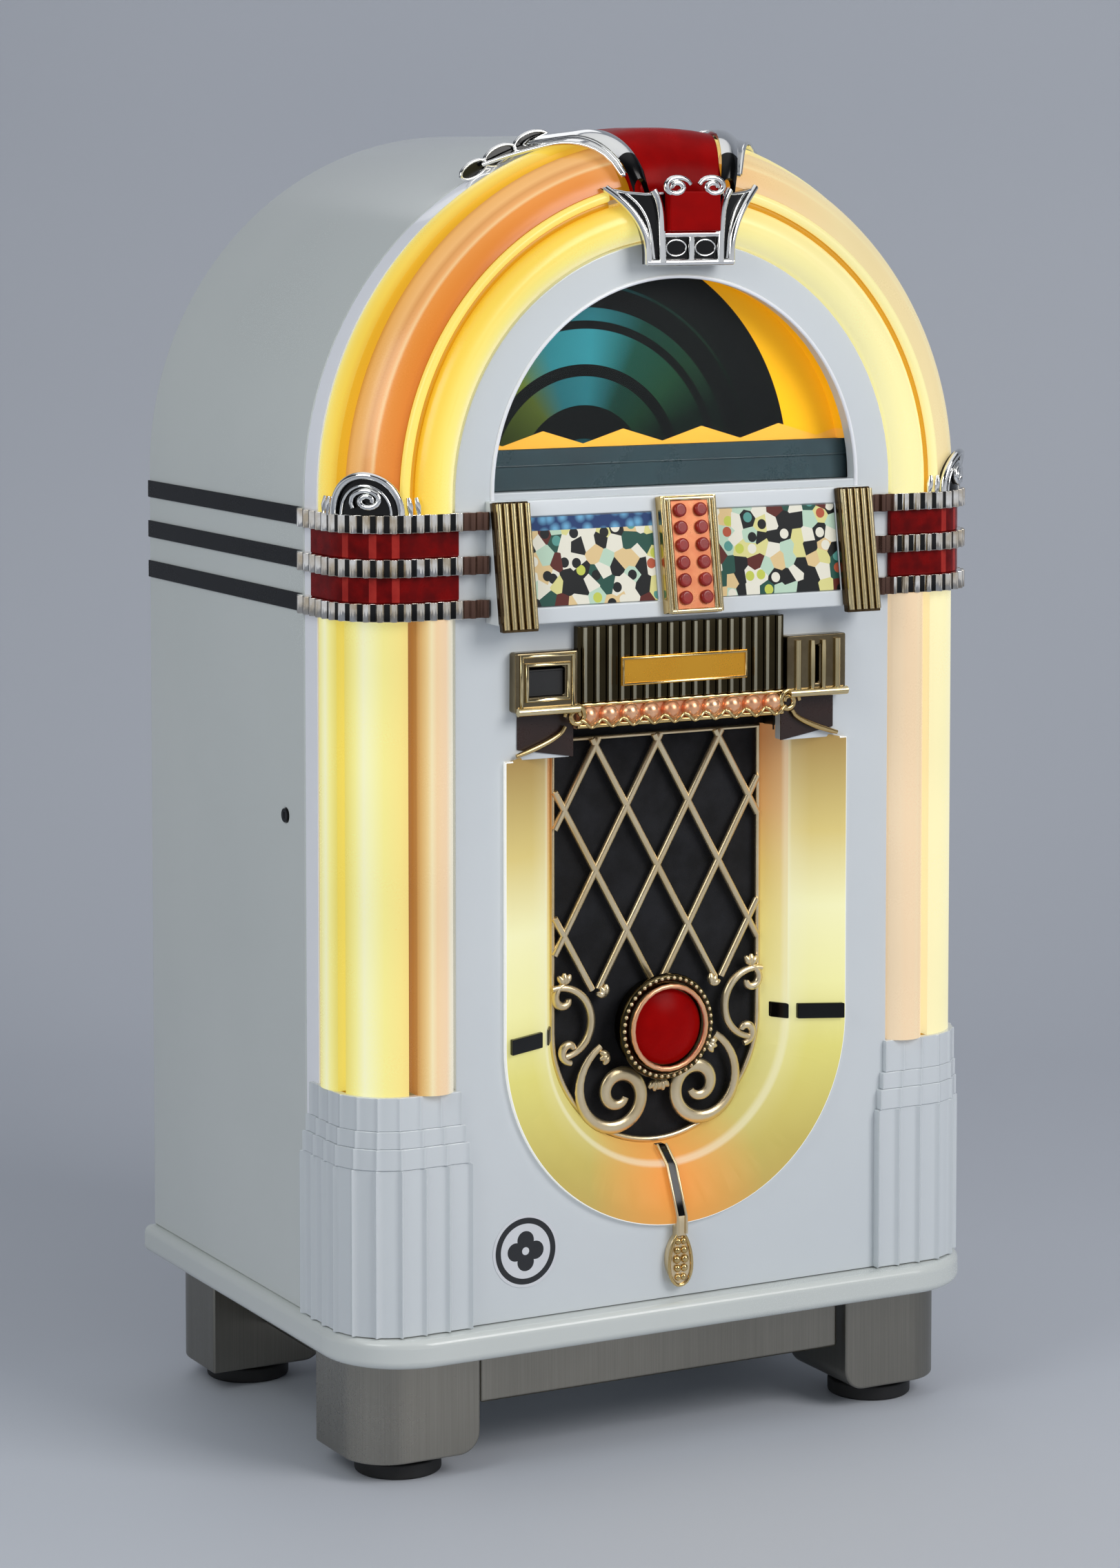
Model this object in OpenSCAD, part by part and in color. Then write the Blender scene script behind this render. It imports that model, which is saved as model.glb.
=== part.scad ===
// Arch-topped compact disc jukebox, free standing, in millimetres.
// +Z is up, the front faces -Y, and the origin is the middle of the base on the floor.
// Modules are drawn with y = 0 on the front face of the door, and at_front() moves them into place.

/* [Cabinet] */
// Width over the two side panels
cabinet_w = 812; // [780:2:860]
// Depth of the cabinet behind the door
cabinet_d = 452; // [440:1:560]
// Height of the centre of the arch above the floor
spring_h = 1116; // [1100:1:1200]
// Thickness of the side panels, roof and shelves
wall = 18; // [12:1:22]
// Thickness of the back panel
back_t = 10; // [6:1:14]
// How far the back panel sits in from the rear edge
back_inset = 10; // [6:1:20]
// Gap between the door and the cabinet
seam = 1; // [0.6:0.1:2]

/* [Base] */
// Height of the top of the base moulding
base_h = 177; // [170:1:190]
// Thickness of the base moulding
moulding_t = 33; // [26:1:40]
// Radius of the rounded edges of the moulding
moulding_edge = 9; // [5:0.5:12]
// How far the moulding stands out from the side panels
moulding_side = 13; // [6:0.5:13.5]
// How far the moulding stands out from the front face of the door
moulding_front = 27; // [16:1:35]
// Radius of the front corners of the moulding
moulding_r = 100; // [60:1:130]
// Width of a foot
foot_w = 147; // [110:1:180]
// Depth of a foot
foot_d = 130; // [90:1:170]
// Distance from the side panel's face in to a foot
foot_inset = 14; // [5:1:30]
// Distance from the front face of the door back to the front feet
foot_setback = 20; // [8:1:40]
// Radius of the outer corner of a foot
foot_r = 55; // [20:1:70]
// Radius of the inner lower corner of a foot
foot_corner = 26; // [12:1:40]
// Height of the underside of the feet
foot_clear = 24; // [22:1:40]
// Wall of the feet and of the rails between them
foot_wall = 4; // [3:0.5:8]
// Height of the rails between the feet
rail_h = 66; // [40:1:80]
// Radius of a glide
glide_r = 50; // [30:1:52]

/* [Door] */
// Depth of the door
door_d = 140; // [134:1:170]
// Thickness of the front panel
panel_t = 18; // [12:1:20]
// Thickness of the trough behind the lit tubes
trough_t = 8; // [5:0.5:10]
// Radius of the rounded front corner, over the corner tube
lens_r = 64; // [56:1:70]
// Wall of the corner tube
lens_wall = 6; // [4:0.5:8]
// Depth from the tube faces to the trough
lens_d = 20; // [18:0.5:24]
// Width of the front tube
front_lens_w = 46; // [30:1:55]
// Bulge of the front tube
front_lens_bulge = 14; // [6:0.5:18]
// Width of the side tube
side_lens_w = 58; // [40:1:58]
// Bulge of the side tube
side_lens_bulge = 8; // [4:0.5:10]
// Width of the grooves between the tubes
groove = 5; // [3:0.5:6]
// Radius of the lamps behind the corner tubes
lamp_r = 5; // [3:0.5:6]
// Width of the white ring round the window
ring_w = 47; // [41:1:80]
// Height of the window's bottom edge above the arch centre
window_rise = 5; // [0:1:20]
// Depth of the picture box behind the window
picture_d = 26; // [15:1:60]

/* [Trim castings] */
// Height of a bright band
band_h = 20.5; // [12:0.5:24]
// Height of a red inlay between two bands
inlay_h = 28.5; // [18:0.5:34]
// Distance of the top band below the arch centre
band_drop = 14; // [8:1:30]
// How far the bands stand out from the corner tube
band_proud = 16; // [11:0.5:18]
// How far the red inlays stand out from the corner tube
inlay_proud = 7; // [3:0.5:9]
// Height of the foot castings
casting_h = 272; // [200:1:320]
// How far the foot castings stand out from the corner tube
casting_proud = 12; // [6:0.5:14]
// Height of the scroll on top of the bands
scroll_h = 46; // [30:1:60]
// Half angle of the red crown lens over the arch
crown_angle = 9; // [6:0.5:12]
// How far the crown lens stands out from the corner tube
crown_proud = 10; // [6:0.5:13]
// Angle of the ribs beside the crown lens
rib_angle = 3; // [2:0.5:4]

/* [Title panel] */
// Width of the title housing
title_w = 496; // [460:2:500]
// Height of the title housing
title_h = 138; // [132:1:150]
// Distance of the housing's top below the arch centre
title_drop = 3; // [1:1:8]
// Depth of the housing at mid height
title_d = 21; // [18:0.5:30]
// Backward lean of the title panel in degrees
title_lean = 9; // [4:0.5:12]
// Width of an end casting
end_w = 45; // [30:1:50]
// Thickness of an end casting
end_t = 10; // [6:0.5:12]
// Height of the title cards
card_h = 102; // [80:1:106]
// Width of the key plate
key_plate_w = 74; // [66:1:84]
// Thickness of the key plate
key_plate_t = 12; // [8:0.5:14]
// Radius of a button
key_r = 8; // [6:0.25:8.5]
// How far a button stands out of the key plate
key_proud = 6; // [5:0.5:8]
// Spacing of the buttons up the key plate
key_pitch = 20; // [19.5:0.25:21]
// Distance between the two columns of buttons
key_columns = 27; // [22:0.5:32]
// Travel of a button
key_travel = 3; // [2:0.25:4]

/* [Coin section] */
// Half width of the apron
apron_w = 136; // [110:1:140]
// Height of the apron
apron_h = 87; // [70:1:100]
// Radius of the apron's ribs
apron_rib_r = 4; // [3:0.5:6]
// Spacing of the apron's ribs
apron_pitch = 16; // [12:1:24]
// Width of the name plate
plate_w = 166; // [120:1:200]
// Height of the name plate
plate_h = 33; // [24:1:40]
// Radius of a bead on the rail
bead_r = 12; // [8:0.5:12.5]
// Spacing of the beads
bead_pitch = 27; // [26:0.5:30]
// Width of a coin box
coin_w = 82; // [74:1:84]
// Height of a coin box
coin_h = 69; // [60:1:76]
// How far a coin box stands out of the door
coin_proud = 16; // [10:0.5:20]
// Depth of a coin box behind the front panel
coin_back = 34; // [30:1:50]
// Width of the coin slot
slot_w = 6; // [5:0.5:8]
// Height of the coin slot
slot_h = 43; // [34:1:48]
// Width of the coin return opening
return_w = 46; // [36:1:50]
// Height of the coin return opening
return_h = 33; // [26:1:36]

/* [Grille] */
// Outer radius of the U-shaped light
u_r = 226; // [210:1:232]
// Width of the light's lip on the front panel
u_lip = 9; // [6:0.5:12]
// Radius of the light's inner edge
u_in_r = 141; // [130:1:150]
// Depth of the grille behind the front panel's face
grille_depth = 56; // [46:1:64]
// Gap between the coin boxes and the light
u_top_gap = 55; // [40:1:80]
// Width of a lattice bar
bar_w = 6; // [4:0.5:9]
// Lattice spacing across
lattice_w = 82; // [60:1:100]
// Lattice spacing up
lattice_h = 146; // [100:1:180]
// Radius of the red jewel
jewel_r = 45; // [35:1:50]
// Width of the jewel's rim
jewel_rim = 10; // [6:0.5:14]
// Place across, place up from the jewel and radius of the curls at the sides
side_curl_x = 96; // [90:1:100]
side_curl_up = 24; // [16:1:32]
side_curl_r = 48; // [40:1:52]
// Place across, place down from the jewel and radius of the lower curls
low_curl_x = 62; // [56:1:66]
low_curl_down = 78; // [72:1:82]
low_curl_r = 52; // [46:1:56]
// Place across and radius of the lower curls' eyes
eye_x = 44; // [40:1:48]
eye_r = 24; // [20:1:28]
// Height of the lattice's lower end above the jewel's centre
lattice_rise = 40; // [30:1:50]
// Height of the leaf drop under the light
drop_h = 66; // [50:1:72]
// Height of the hook that carries the leaf drop
hook_h = 12; // [8:1:16]
// Clearance of the leaf drop above the door's lower edge
drop_clear = 13; // [8:1:20]

/* [Inside] */
// Height of the mechanism shelf's top
shelf_h = 920; // [900:1:950]
// Radius of a compact disc
disc_r = 60; // [60:1:60]
// Discs in the magazine
disc_count = 30; // [20:1:36]
// Radius of the magazine's hub
hub_r = 70; // [64:1:74]
// Radius of the magazine's post
post_r = 15; // [10:0.5:25]
// Radius of the woofer
woofer_r = 150; // [120:1:160]
// Height of the woofer's centre
woofer_h = 600; // [580:1:620]
// Width of the cash box
cash_w = 210; // [150:1:240]
// Radius of the lock barrel
lock_r = 8; // [6:0.5:11]
// Height of the lock above the floor
lock_h = 744; // [600:1:800]
// Distance of the lock behind the front face of the door
lock_setback = 194; // [180:1:230]

/* [Hidden] */
$fn = 96;
// Gap left on curved seats, and running clearance of shafts
fit = 0.3;
run = 0.1;

half_w = cabinet_w / 2;
inner_w = half_w - wall;
cab_front = door_d + seam;
cab_rear = cab_front + cabinet_d;
back_front = cab_rear - back_inset - back_t;
door_low = base_h + seam;
hook_gap = 1;
// Height of the centre of the U's round end, which leaves room for the leaf drop below it
u_h = door_low + drop_clear + drop_h + hook_h / 2 + hook_gap + u_r;

// Corner of the pilasters and of the arch, with u out from the middle and v back from the front
side_reveal = 2;
corner_u = half_w - side_reveal - lens_r;
corner_v = lens_r;
trough_r = lens_r - lens_d;
front_lens_out = corner_u - groove;
front_lens_in = front_lens_out - front_lens_w;
edge_gap = 3;
edge_out = front_lens_in - edge_gap;
edge_in = edge_out - trough_t;
window_r = edge_out - ring_w;
window_lap = 9;
glass_t = 4;
side_lens_start = corner_v + groove;
side_lens_end = side_lens_start + side_lens_w;
trough_side = corner_u + trough_r;

band_top = spring_h - band_drop;
band_low = band_top - 3 * band_h - 2 * inlay_h;
casting_top = door_low + casting_h;
band_r = lens_r + band_proud;
inlay_r = lens_r + inlay_proud;
casting_r = lens_r + casting_proud;
crown_r = lens_r + crown_proud;
rib_lip = 4;
rib_r = crown_r + rib_lip;
crown_span = crown_angle + rib_angle;

title_top = spring_h - title_drop;
title_low = title_top - title_h;
title_mid = (title_top + title_low) / 2;
card_gap = 4;
card_in = key_plate_w / 2 + card_gap;
card_out = title_w / 2 - end_w;
card_recess = 4;
card_t = 2.5;
key_rows = 6;
key_spring = 6;
key_well = key_travel + key_spring;
flange_lip = 1.4;
flange_r = key_r + flange_lip;
flange_t = 1.5;
key_margin = 2;
key_plate_h = title_h - 2 * key_margin;
key_low = -(key_rows - 1) / 2 * key_pitch;

apron_gap = 8;
apron_top = title_low - apron_gap;
apron_low = apron_top - apron_h;
apron_t = 10;
rib_face = apron_t + apron_rib_r;
plate_t = 3;
plate_drop = 10;
rail_edge = 3;
rail_low = apron_low - 2 * (bead_r + rail_edge);
bead_count = floor((2 * apron_w - 2 * bead_r) / bead_pitch) + 1;
coin_gap = 1;
coin_in = apron_w + coin_gap;
coin_drop = 25;
coin_top = apron_top - coin_drop;
coin_low = coin_top - coin_h;
coin_mid = (coin_top + coin_low) / 2;
coin_x = coin_in + coin_w / 2;
coin_wall = 8;
flap_t = 2;
flap_gap = 0.6;
flap_pin_r = 1.5;
flap_recess = 6;
flap_y = -coin_proud + flap_recess;
flap_drop = 4;
flap_axis_h = coin_mid + return_h / 2 - flap_drop;

u_top = coin_low - u_top_gap;
u_hole_r = u_r - u_lip;
crease_w = 19;
crease_r = u_in_r + crease_w;
crease_y = 19;
lip_proud = 6;
funnel_y = 0.86 * grille_depth;
grille_lap = 12;
grille_top = rail_low + grille_lap;
cloth_t = 4;
cloth_lap = 7;
bar_t = 8;
jewel_seat = 24;
jewel_dome = 14;

// Reach of the front: the lower edge of the lowest button's face
front_reach = title_d - (key_low - key_r) * sin(title_lean) + (key_plate_t + key_proud) * cos(title_lean);
front_y = (front_reach - cab_rear) / 2;

disc_gap = 0.6;
rack_r = hub_r + disc_gap + disc_r;
magazine_edge = 6;
magazine_r = rack_r + disc_r + magazine_edge;
magazine_room = 41.4;
magazine_x = -inner_w + magazine_r + magazine_room;
magazine_y = (cab_front + back_front) / 2;
magazine_lift = 8;
magazine_low = shelf_h + magazine_lift;
magazine_floor = 6;
disc_z = magazine_low + magazine_floor + fit + disc_r;
disc_t = 1.2;
arm_reach = 52;
arm_room = 4;
arm_x = magazine_x + rack_r + disc_r + arm_reach + arm_room;
arm_rise = 6;
arm_z = disc_z + arm_rise;
arm_pin_r = 5;
player_room = 5;
player_x = arm_x + arm_reach + disc_r + player_room;
player_setback = 18;
player_front = magazine_y + player_setback;
spindle_r = 4;

baffle_setback = 80;
baffle_front = cab_front + baffle_setback;
baffle_low = 420;
tweeter_r = 50;
tweeter_x = 150;
tweeter_drop = 72;
tweeter_h = shelf_h - wall - tweeter_drop;
cash_room = 58;
cash_x = inner_w - cash_w - cash_room;
cash_setback = 20;
cash_d = 250;
cash_h = 130;
cash_wall = 2;

hinge_proud = 5;
hinge_x = half_w + hinge_proud;
hinge_y = door_d + seam / 2;
knuckle_r = 4.4;
knuckle_h = 30;
pin_r = 2.2;
leaf_t = 2;
leaf_d = 24;
hinge_inset = 70;
hinge_zs = [casting_top + hinge_inset, (casting_top + band_low) / 2, band_low - hinge_inset];

glide_stem_r = 9;
stripe_proud = 2;
stripe_cap = 25;
screw_r = 2;
screw_head_r = 5;

button_count = 2 * key_rows;
function button_name(i) = str("button_", i < 9 ? "0" : "", i + 1);

// Placing helpers
module at_front() translate([0, front_y, 0]) children();
module both_sides() {
    children();
    mirror([1, 0, 0]) children();
}
// Sweeps a (u, v) section round part of the arch, from one angle through another
module arch_sweep(from, span) {
    translate([0, 0, spring_h]) rotate([90, 0, 0]) rotate([0, 0, from])
        rotate_extrude(angle = span) mirror([0, 1]) children();
}
// Raises a (u, v) section between two heights
module raise(low, high) translate([0, 0, low]) linear_extrude(high - low) children();
// Extrudes an (x, z) outline from one depth to another
module upright(near, far) translate([0, far, 0]) rotate([90, 0, 0]) linear_extrude(far - near) children();
// Extrudes a (y, z) outline across x
module across(left, right) {
    translate([left, 0, 0]) rotate([90, 0, 90]) linear_extrude(right - left) children();
}
// Frame of the leaning title panel: x across, y up the panel, z out of it
module on_panel() translate([0, -title_d, title_mid]) rotate([90 - title_lean, 0, 0]) children();
// Outline of a panel with a round top, with w its half width
module arch_outline(w, low) {
    translate([-w, low]) square([2 * w, spring_h - low]);
    intersection() {
        translate([0, spring_h]) circle(w);
        translate([-w, spring_h]) square([2 * w, w]);
    }
}

// Sections shared by the pilasters and the arch
module quarter_ring(r_in, r_out) {
    translate([corner_u, corner_v]) intersection() {
        difference() {
            circle(r_out);
            circle(r_in);
        }
        translate([0, -r_out]) square(r_out);
    }
}
module bulged(w, bulge) {
    r = (w * w / 4 + bulge * bulge) / (2 * bulge);
    intersection() {
        translate([w / 2, r - bulge]) circle(r);
        translate([0, -bulge]) square([w, bulge]);
    }
}
module front_lens_section() {
    translate([front_lens_in, 0]) {
        bulged(front_lens_w, front_lens_bulge);
        square([front_lens_w, lens_d]);
    }
}
module corner_lens_section() {
    quarter_ring(lens_r - lens_wall, lens_r);
    foot = lens_wall / 2;
    translate([corner_u, foot]) square([foot, lens_d - foot]);
    translate([trough_side + fit, corner_v - foot]) square([lens_d - fit - foot, foot]);
}
module side_lens_section() {
    translate([trough_side + fit, side_lens_start]) square([lens_d - fit, side_lens_w]);
    translate([corner_u + lens_r, side_lens_start]) rotate(90) bulged(side_lens_w, side_lens_bulge);
}
module trough_section() {
    translate([edge_in, 0]) square([trough_t, lens_d + trough_t]);
    translate([edge_in, lens_d]) square([corner_u - edge_in, trough_t]);
    quarter_ring(trough_r - trough_t, trough_r);
    translate([trough_side - trough_t, corner_v]) square([trough_t, door_d - corner_v]);
    translate([trough_side - trough_t, side_lens_end]) {
        square([half_w - trough_side + trough_t, door_d - side_lens_end]);
    }
}
// Casting that wraps the corner, from inner on the front face to rear on the side
module wrap_section(r, inner, rear) {
    quarter_ring(trough_r + fit, r);
    translate([edge_out, corner_v - r]) square([corner_u - edge_out, r - trough_r - fit]);
    translate([inner, corner_v - r]) square([edge_out - inner, r - corner_v]);
    translate([trough_side + fit, corner_v]) {
        square([r - trough_r - fit, min(rear, side_lens_end) - corner_v]);
    }
    translate([half_w, corner_v]) square([corner_u + r - half_w, rear - corner_v]);
}

// Base
module moulding_plan(inset) {
    w = half_w + moulding_side - inset;
    near = inset - moulding_front;
    corner = moulding_r - inset;
    translate([-w, near + corner]) square([2 * w, cab_rear - near - corner]);
    translate([-w + corner, near]) square([2 * (w - corner), corner]);
    for (side = [-1, 1]) translate([side * (w - corner), near + corner]) circle(corner);
}
module base_moulding() {
    r = moulding_edge;
    flat = moulding_t / 2 - r;
    w = half_w + moulding_side - r;
    near = r - moulding_front;
    corner = moulding_r - r;
    color("whitesmoke") at_front() translate([0, 0, base_h - moulding_t / 2]) {
        raise(-moulding_t / 2, moulding_t / 2) moulding_plan(r);
        raise(-flat, flat) moulding_plan(0);
        for (z = [-flat, flat]) translate([0, 0, z]) {
            translate([-w + corner, near, 0]) rotate([0, 90, 0]) cylinder(r = r, h = 2 * (w - corner));
            both_sides() {
                translate([w, near + corner, 0]) rotate([-90, 0, 0]) {
                    cylinder(r = r, h = cab_rear - near - corner);
                }
                translate([w - corner, near + corner, 0]) rotate([0, 0, -90]) {
                    rotate_extrude(angle = 90) translate([corner, 0]) circle(r);
                }
            }
        }
    }
}
module foot_outline(inset) {
    difference() {
        translate([inset, inset]) square([foot_w - 2 * inset, foot_d - 2 * inset]);
        translate([foot_w - foot_r, 0]) square(foot_r);
    }
    translate([foot_w - foot_r, foot_r]) intersection() {
        circle(foot_r - inset);
        translate([0, -foot_r]) square(foot_r);
    }
}
// Block of a foot with its inner lower corner rounded
module foot_block(inset, low, high) {
    difference() {
        raise(low, high) foot_outline(inset);
        upright(-1, foot_d + 1) translate([foot_corner, foot_clear + foot_corner]) difference() {
            translate([-foot_corner - 1, -foot_corner - 1]) square(foot_corner + 1);
            circle(foot_corner - inset);
        }
    }
}
module foot() {
    glide_seat = 6;
    difference() {
        foot_block(0, foot_clear, base_h - moulding_t);
        foot_block(foot_wall, foot_clear + glide_seat, base_h);
        translate([foot_w / 2, foot_d / 2, 0]) cylinder(r = glide_stem_r + fit, h = base_h);
    }
}
foot_x = half_w - foot_inset - foot_w;
foot_rear = cab_rear - foot_setback;
module foot_places() {
    both_sides() {
        translate([foot_x, foot_setback, 0]) children();
        translate([foot_x, foot_rear, 0]) mirror([0, 1, 0]) children();
    }
}
module base_feet() {
    rail_low_h = base_h - moulding_t - rail_h;
    front_run = 2 * (foot_x - fit);
    side_run = foot_rear - foot_setback - 2 * (foot_d + fit);
    rail_setback = foot_setback + 12;
    color("darkgray") at_front() {
        foot_places() foot();
        for (y = [rail_setback, foot_rear - foot_d / 2]) {
            translate([-front_run / 2, y, rail_low_h]) cube([front_run, foot_wall, rail_h]);
        }
        both_sides() translate([foot_x + foot_w / 2, foot_setback + foot_d + fit, rail_low_h]) {
            cube([foot_wall, side_run, rail_h]);
        }
    }
}
module glides() {
    pad_h = foot_clear - 6;
    color([0.06, 0.06, 0.06]) at_front() foot_places() translate([foot_w / 2, foot_d / 2, 0]) {
        cylinder(r = glide_r, h = pad_h);
        cylinder(r = glide_stem_r * 2, h = foot_clear);
        cylinder(r = glide_stem_r, h = foot_clear + 18);
    }
}

// Cabinet carcass
module shelves() {
    color("burlywood") at_front() {
        translate([-inner_w, cab_front, base_h]) cube([2 * inner_w, back_front - cab_front, wall]);
        translate([-inner_w, cab_front + 10, shelf_h - wall]) {
            cube([2 * inner_w, back_front - cab_front - 10, wall]);
        }
    }
}
module side_panels() {
    color("whitesmoke") at_front() difference() {
        both_sides() translate([inner_w, cab_front, base_h]) cube([wall, cabinet_d, spring_h - base_h]);
        translate([-half_w, lock_setback, lock_h]) rotate([0, 90, 0]) {
            cylinder(r = lock_r + run, h = 3 * wall, center = true);
        }
    }
}
module arch_roof() {
    color("whitesmoke") at_front() translate([0, cab_front, 0]) arch_sweep(0, 180) {
        translate([inner_w, 0]) square([wall, cabinet_d]);
    }
}
vent_w = 90;
vent_h = 8;
vent_rise = 220;
vent_lift = 60;
inlet_inset = 90;
inlet_rise = 120;
inlet_x = inner_w - inlet_inset;
inlet_h = base_h + inlet_rise;
inlet_w = 28;
inlet_tall = 48;
module screw_places() {
    side = inner_w - 14;
    for (z = [base_h + 40, (base_h + spring_h) / 2, spring_h]) {
        for (x = [-side, side]) translate([x, 0, z]) children();
    }
    for (a = [45, 90, 135]) translate([side * cos(a), 0, spring_h + side * sin(a)]) children();
}
module back_panel() {
    color("dimgray") at_front() difference() {
        upright(back_front, back_front + back_t) {
            translate([-inner_w, base_h]) square([2 * inner_w, spring_h - base_h]);
            intersection() {
                translate([0, spring_h]) circle(inner_w - fit);
                translate([-inner_w, spring_h]) square([2 * inner_w, inner_w]);
            }
        }
        upright(back_front - 1, cab_rear) {
            for (z = [base_h + vent_rise, spring_h + vent_lift], row = [0 : 4], col = [-1 : 1]) {
                translate([col * 1.4 * vent_w - vent_w / 2, z + row * 3 * vent_h]) square([vent_w, vent_h]);
            }
            translate([inlet_x - inlet_w / 2, inlet_h - inlet_tall / 2]) square([inlet_w, inlet_tall]);
        }
        translate([0, back_front - 1, 0]) screw_places() rotate([-90, 0, 0]) {
            cylinder(r = screw_r + fit, h = back_t + 2);
        }
    }
}
module back_screws() {
    color("silver") at_front() translate([0, back_front + back_t, 0]) screw_places() {
        rotate([90, 0, 0]) cylinder(r = screw_r, h = back_t);
        rotate([-90, 0, 0]) cylinder(r = screw_head_r, h = 3);
    }
}
module mains_inlet() {
    flange = 5;
    body_d = back_t + 20;
    pocket = 14;
    color([0.08, 0.08, 0.08]) at_front() translate([inlet_x, back_front + back_t, inlet_h]) difference() {
        union() {
            upright(0, 3) translate([-inlet_w / 2 - flange, -inlet_tall / 2 - flange]) {
                square([inlet_w + 2 * flange, inlet_tall + 2 * flange]);
            }
            upright(-body_d, 0) translate([-inlet_w / 2 + fit, -inlet_tall / 2 + fit]) {
                square([inlet_w - 2 * fit, inlet_tall - 2 * fit]);
            }
        }
        upright(-pocket, 4) difference() {
            translate([-inlet_w / 2 + 3, -inlet_tall / 2 + 3]) square([inlet_w - 6, inlet_tall - 6]);
            for (z = [-12, 0, 12]) translate([-1, z - 3]) square([2, 6]);
        }
    }
}
module side_stripes() {
    color([0.05, 0.05, 0.06]) at_front() both_sides() for (i = [0 : 2]) {
        translate([half_w, cab_front + stripe_cap, band_low + i * (band_h + inlay_h)]) {
            cube([stripe_proud, cabinet_d - stripe_cap, band_h]);
        }
        translate([half_w, cab_front + 1, band_low + i * (band_h + inlay_h)]) {
            cube([stripe_proud, stripe_cap - 1, band_h]);
        }
    }
}

// Sound and power, in the lower cabinet
baffle_t = wall;
module speaker_places() {
    translate([0, baffle_front, woofer_h]) children(0);
    for (x = [-tweeter_x, tweeter_x]) translate([x, baffle_front, tweeter_h]) children(1);
}
module speaker_baffle() {
    color("black") at_front() difference() {
        translate([-inner_w, baffle_front, baffle_low]) {
            cube([2 * inner_w, baffle_t, shelf_h - wall - baffle_low]);
        }
        speaker_places() {
            rotate([90, 0, 0]) cylinder(r = woofer_r - 12, h = 3 * baffle_t, center = true);
            rotate([90, 0, 0]) cylinder(r = tweeter_r - 8, h = 3 * baffle_t, center = true);
        }
    }
}
// Round loudspeaker: flange on the baffle's face, cone, basket and magnet behind
module loudspeaker(r, flange) {
    depth = 0.7 * r;
    magnet_r = 0.45 * r;
    basket_r = r - flange - 1;
    rotate([-90, 0, 0]) rotate_extrude() polygon([
        [0, 0.34 * r], [0.25 * r, 0.34 * r], [basket_r - 4, 2], [basket_r, -4], [r, -4], [r, 0],
        [basket_r, 0], [basket_r, 0.1 * r + 6], [magnet_r, depth - 0.24 * r], [magnet_r, depth], [0, depth]]);
}
module speakers() {
    color([0.12, 0.12, 0.13]) at_front() speaker_places() {
        loudspeaker(woofer_r, 12);
        loudspeaker(tweeter_r, 8);
    }
}
amp_w = 280;
amp_d = 160;
amp_h = 90;
module amplifier() {
    fin_t = 3;
    fin_h = 24;
    fin_pitch = 14;
    amp_left = 60;
    amp_rear = 10;
    color("gray") at_front() translate([-inner_w + amp_left, back_front - amp_rear - amp_d, base_h + wall]) {
        cube([amp_w, amp_d, amp_h]);
        for (x = [0 : fin_pitch : amp_w - fin_t]) translate([x, 0, amp_h]) cube([fin_t, amp_d, fin_h]);
    }
}
module cash_box() {
    lip = 12;
    color("silver") at_front() translate([cash_x, cab_front + cash_setback, base_h + wall]) difference() {
        cube([cash_w, cash_d, cash_h]);
        translate([cash_wall, cash_wall, cash_wall]) {
            cube([cash_w - 2 * cash_wall, cash_d - 2 * cash_wall, cash_h]);
        }
        translate([cash_w / 2, cash_wall / 2, cash_h - lip]) rotate([90, 0, 0]) {
            cylinder(r = 2 * lip, h = 2 * cash_wall, center = true);
        }
    }
}

// Disc player, on the mechanism shelf
module player_deck() {
    bracket_w = 30;
    bracket_t = 16;
    deck_w = 150;
    deck_d = 95;
    deck_rise = 20;
    bore_d = 20;
    deck_h = disc_z + disc_r + deck_rise - shelf_h;
    post_rise = 30;
    color("slategray") at_front() {
        translate([magazine_x, magazine_y, shelf_h]) {
            cylinder(r = 3 * post_r, h = magazine_low - shelf_h - fit);
            cylinder(r = post_r, h = 2 * disc_r + post_rise);
        }
        difference() {
            translate([arm_x - bracket_w / 2, player_front, shelf_h]) {
                cube([bracket_w, bracket_t, arm_z + bracket_w / 2 - shelf_h]);
            }
            translate([arm_x, player_front, arm_z]) rotate([90, 0, 0]) {
                cylinder(r = arm_pin_r + run, h = 3 * bracket_t, center = true);
            }
        }
        difference() {
            translate([player_x - deck_w / 2, player_front, shelf_h]) cube([deck_w, deck_d, deck_h]);
            translate([player_x, player_front, disc_z]) rotate([90, 0, 0]) {
                cylinder(r = spindle_r + run, h = 2 * bore_d, center = true);
            }
        }
    }
}
module disc_magazine() {
    rim_w = 6;
    rim_h = 26;
    color("gainsboro") at_front() translate([magazine_x, magazine_y, magazine_low]) difference() {
        union() {
            cylinder(r = magazine_r, h = magazine_floor);
            cylinder(r = hub_r, h = 2 * disc_r);
        }
        translate([0, 0, -1]) cylinder(r = post_r + run, h = 2 * disc_r + 2);
        for (a = [0 : 60 : 300]) rotate(a) translate([hub_r / 2 + post_r / 2, 0, rim_w]) {
            cylinder(r = (hub_r - post_r) / 3, h = 2 * disc_r + rim_h);
        }
    }
}
module compact_discs() {
    bore_r = 7.5;
    color("lightsteelblue") at_front() translate([magazine_x, magazine_y, disc_z]) {
        for (i = [0 : disc_count - 1]) rotate(i * 360 / disc_count) translate([rack_r, 0, 0]) {
            rotate([90, 0, 0]) difference() {
                cylinder(r = disc_r, h = disc_t, center = true);
                cylinder(r = bore_r, h = 2 * disc_t, center = true);
            }
        }
    }
}
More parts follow.
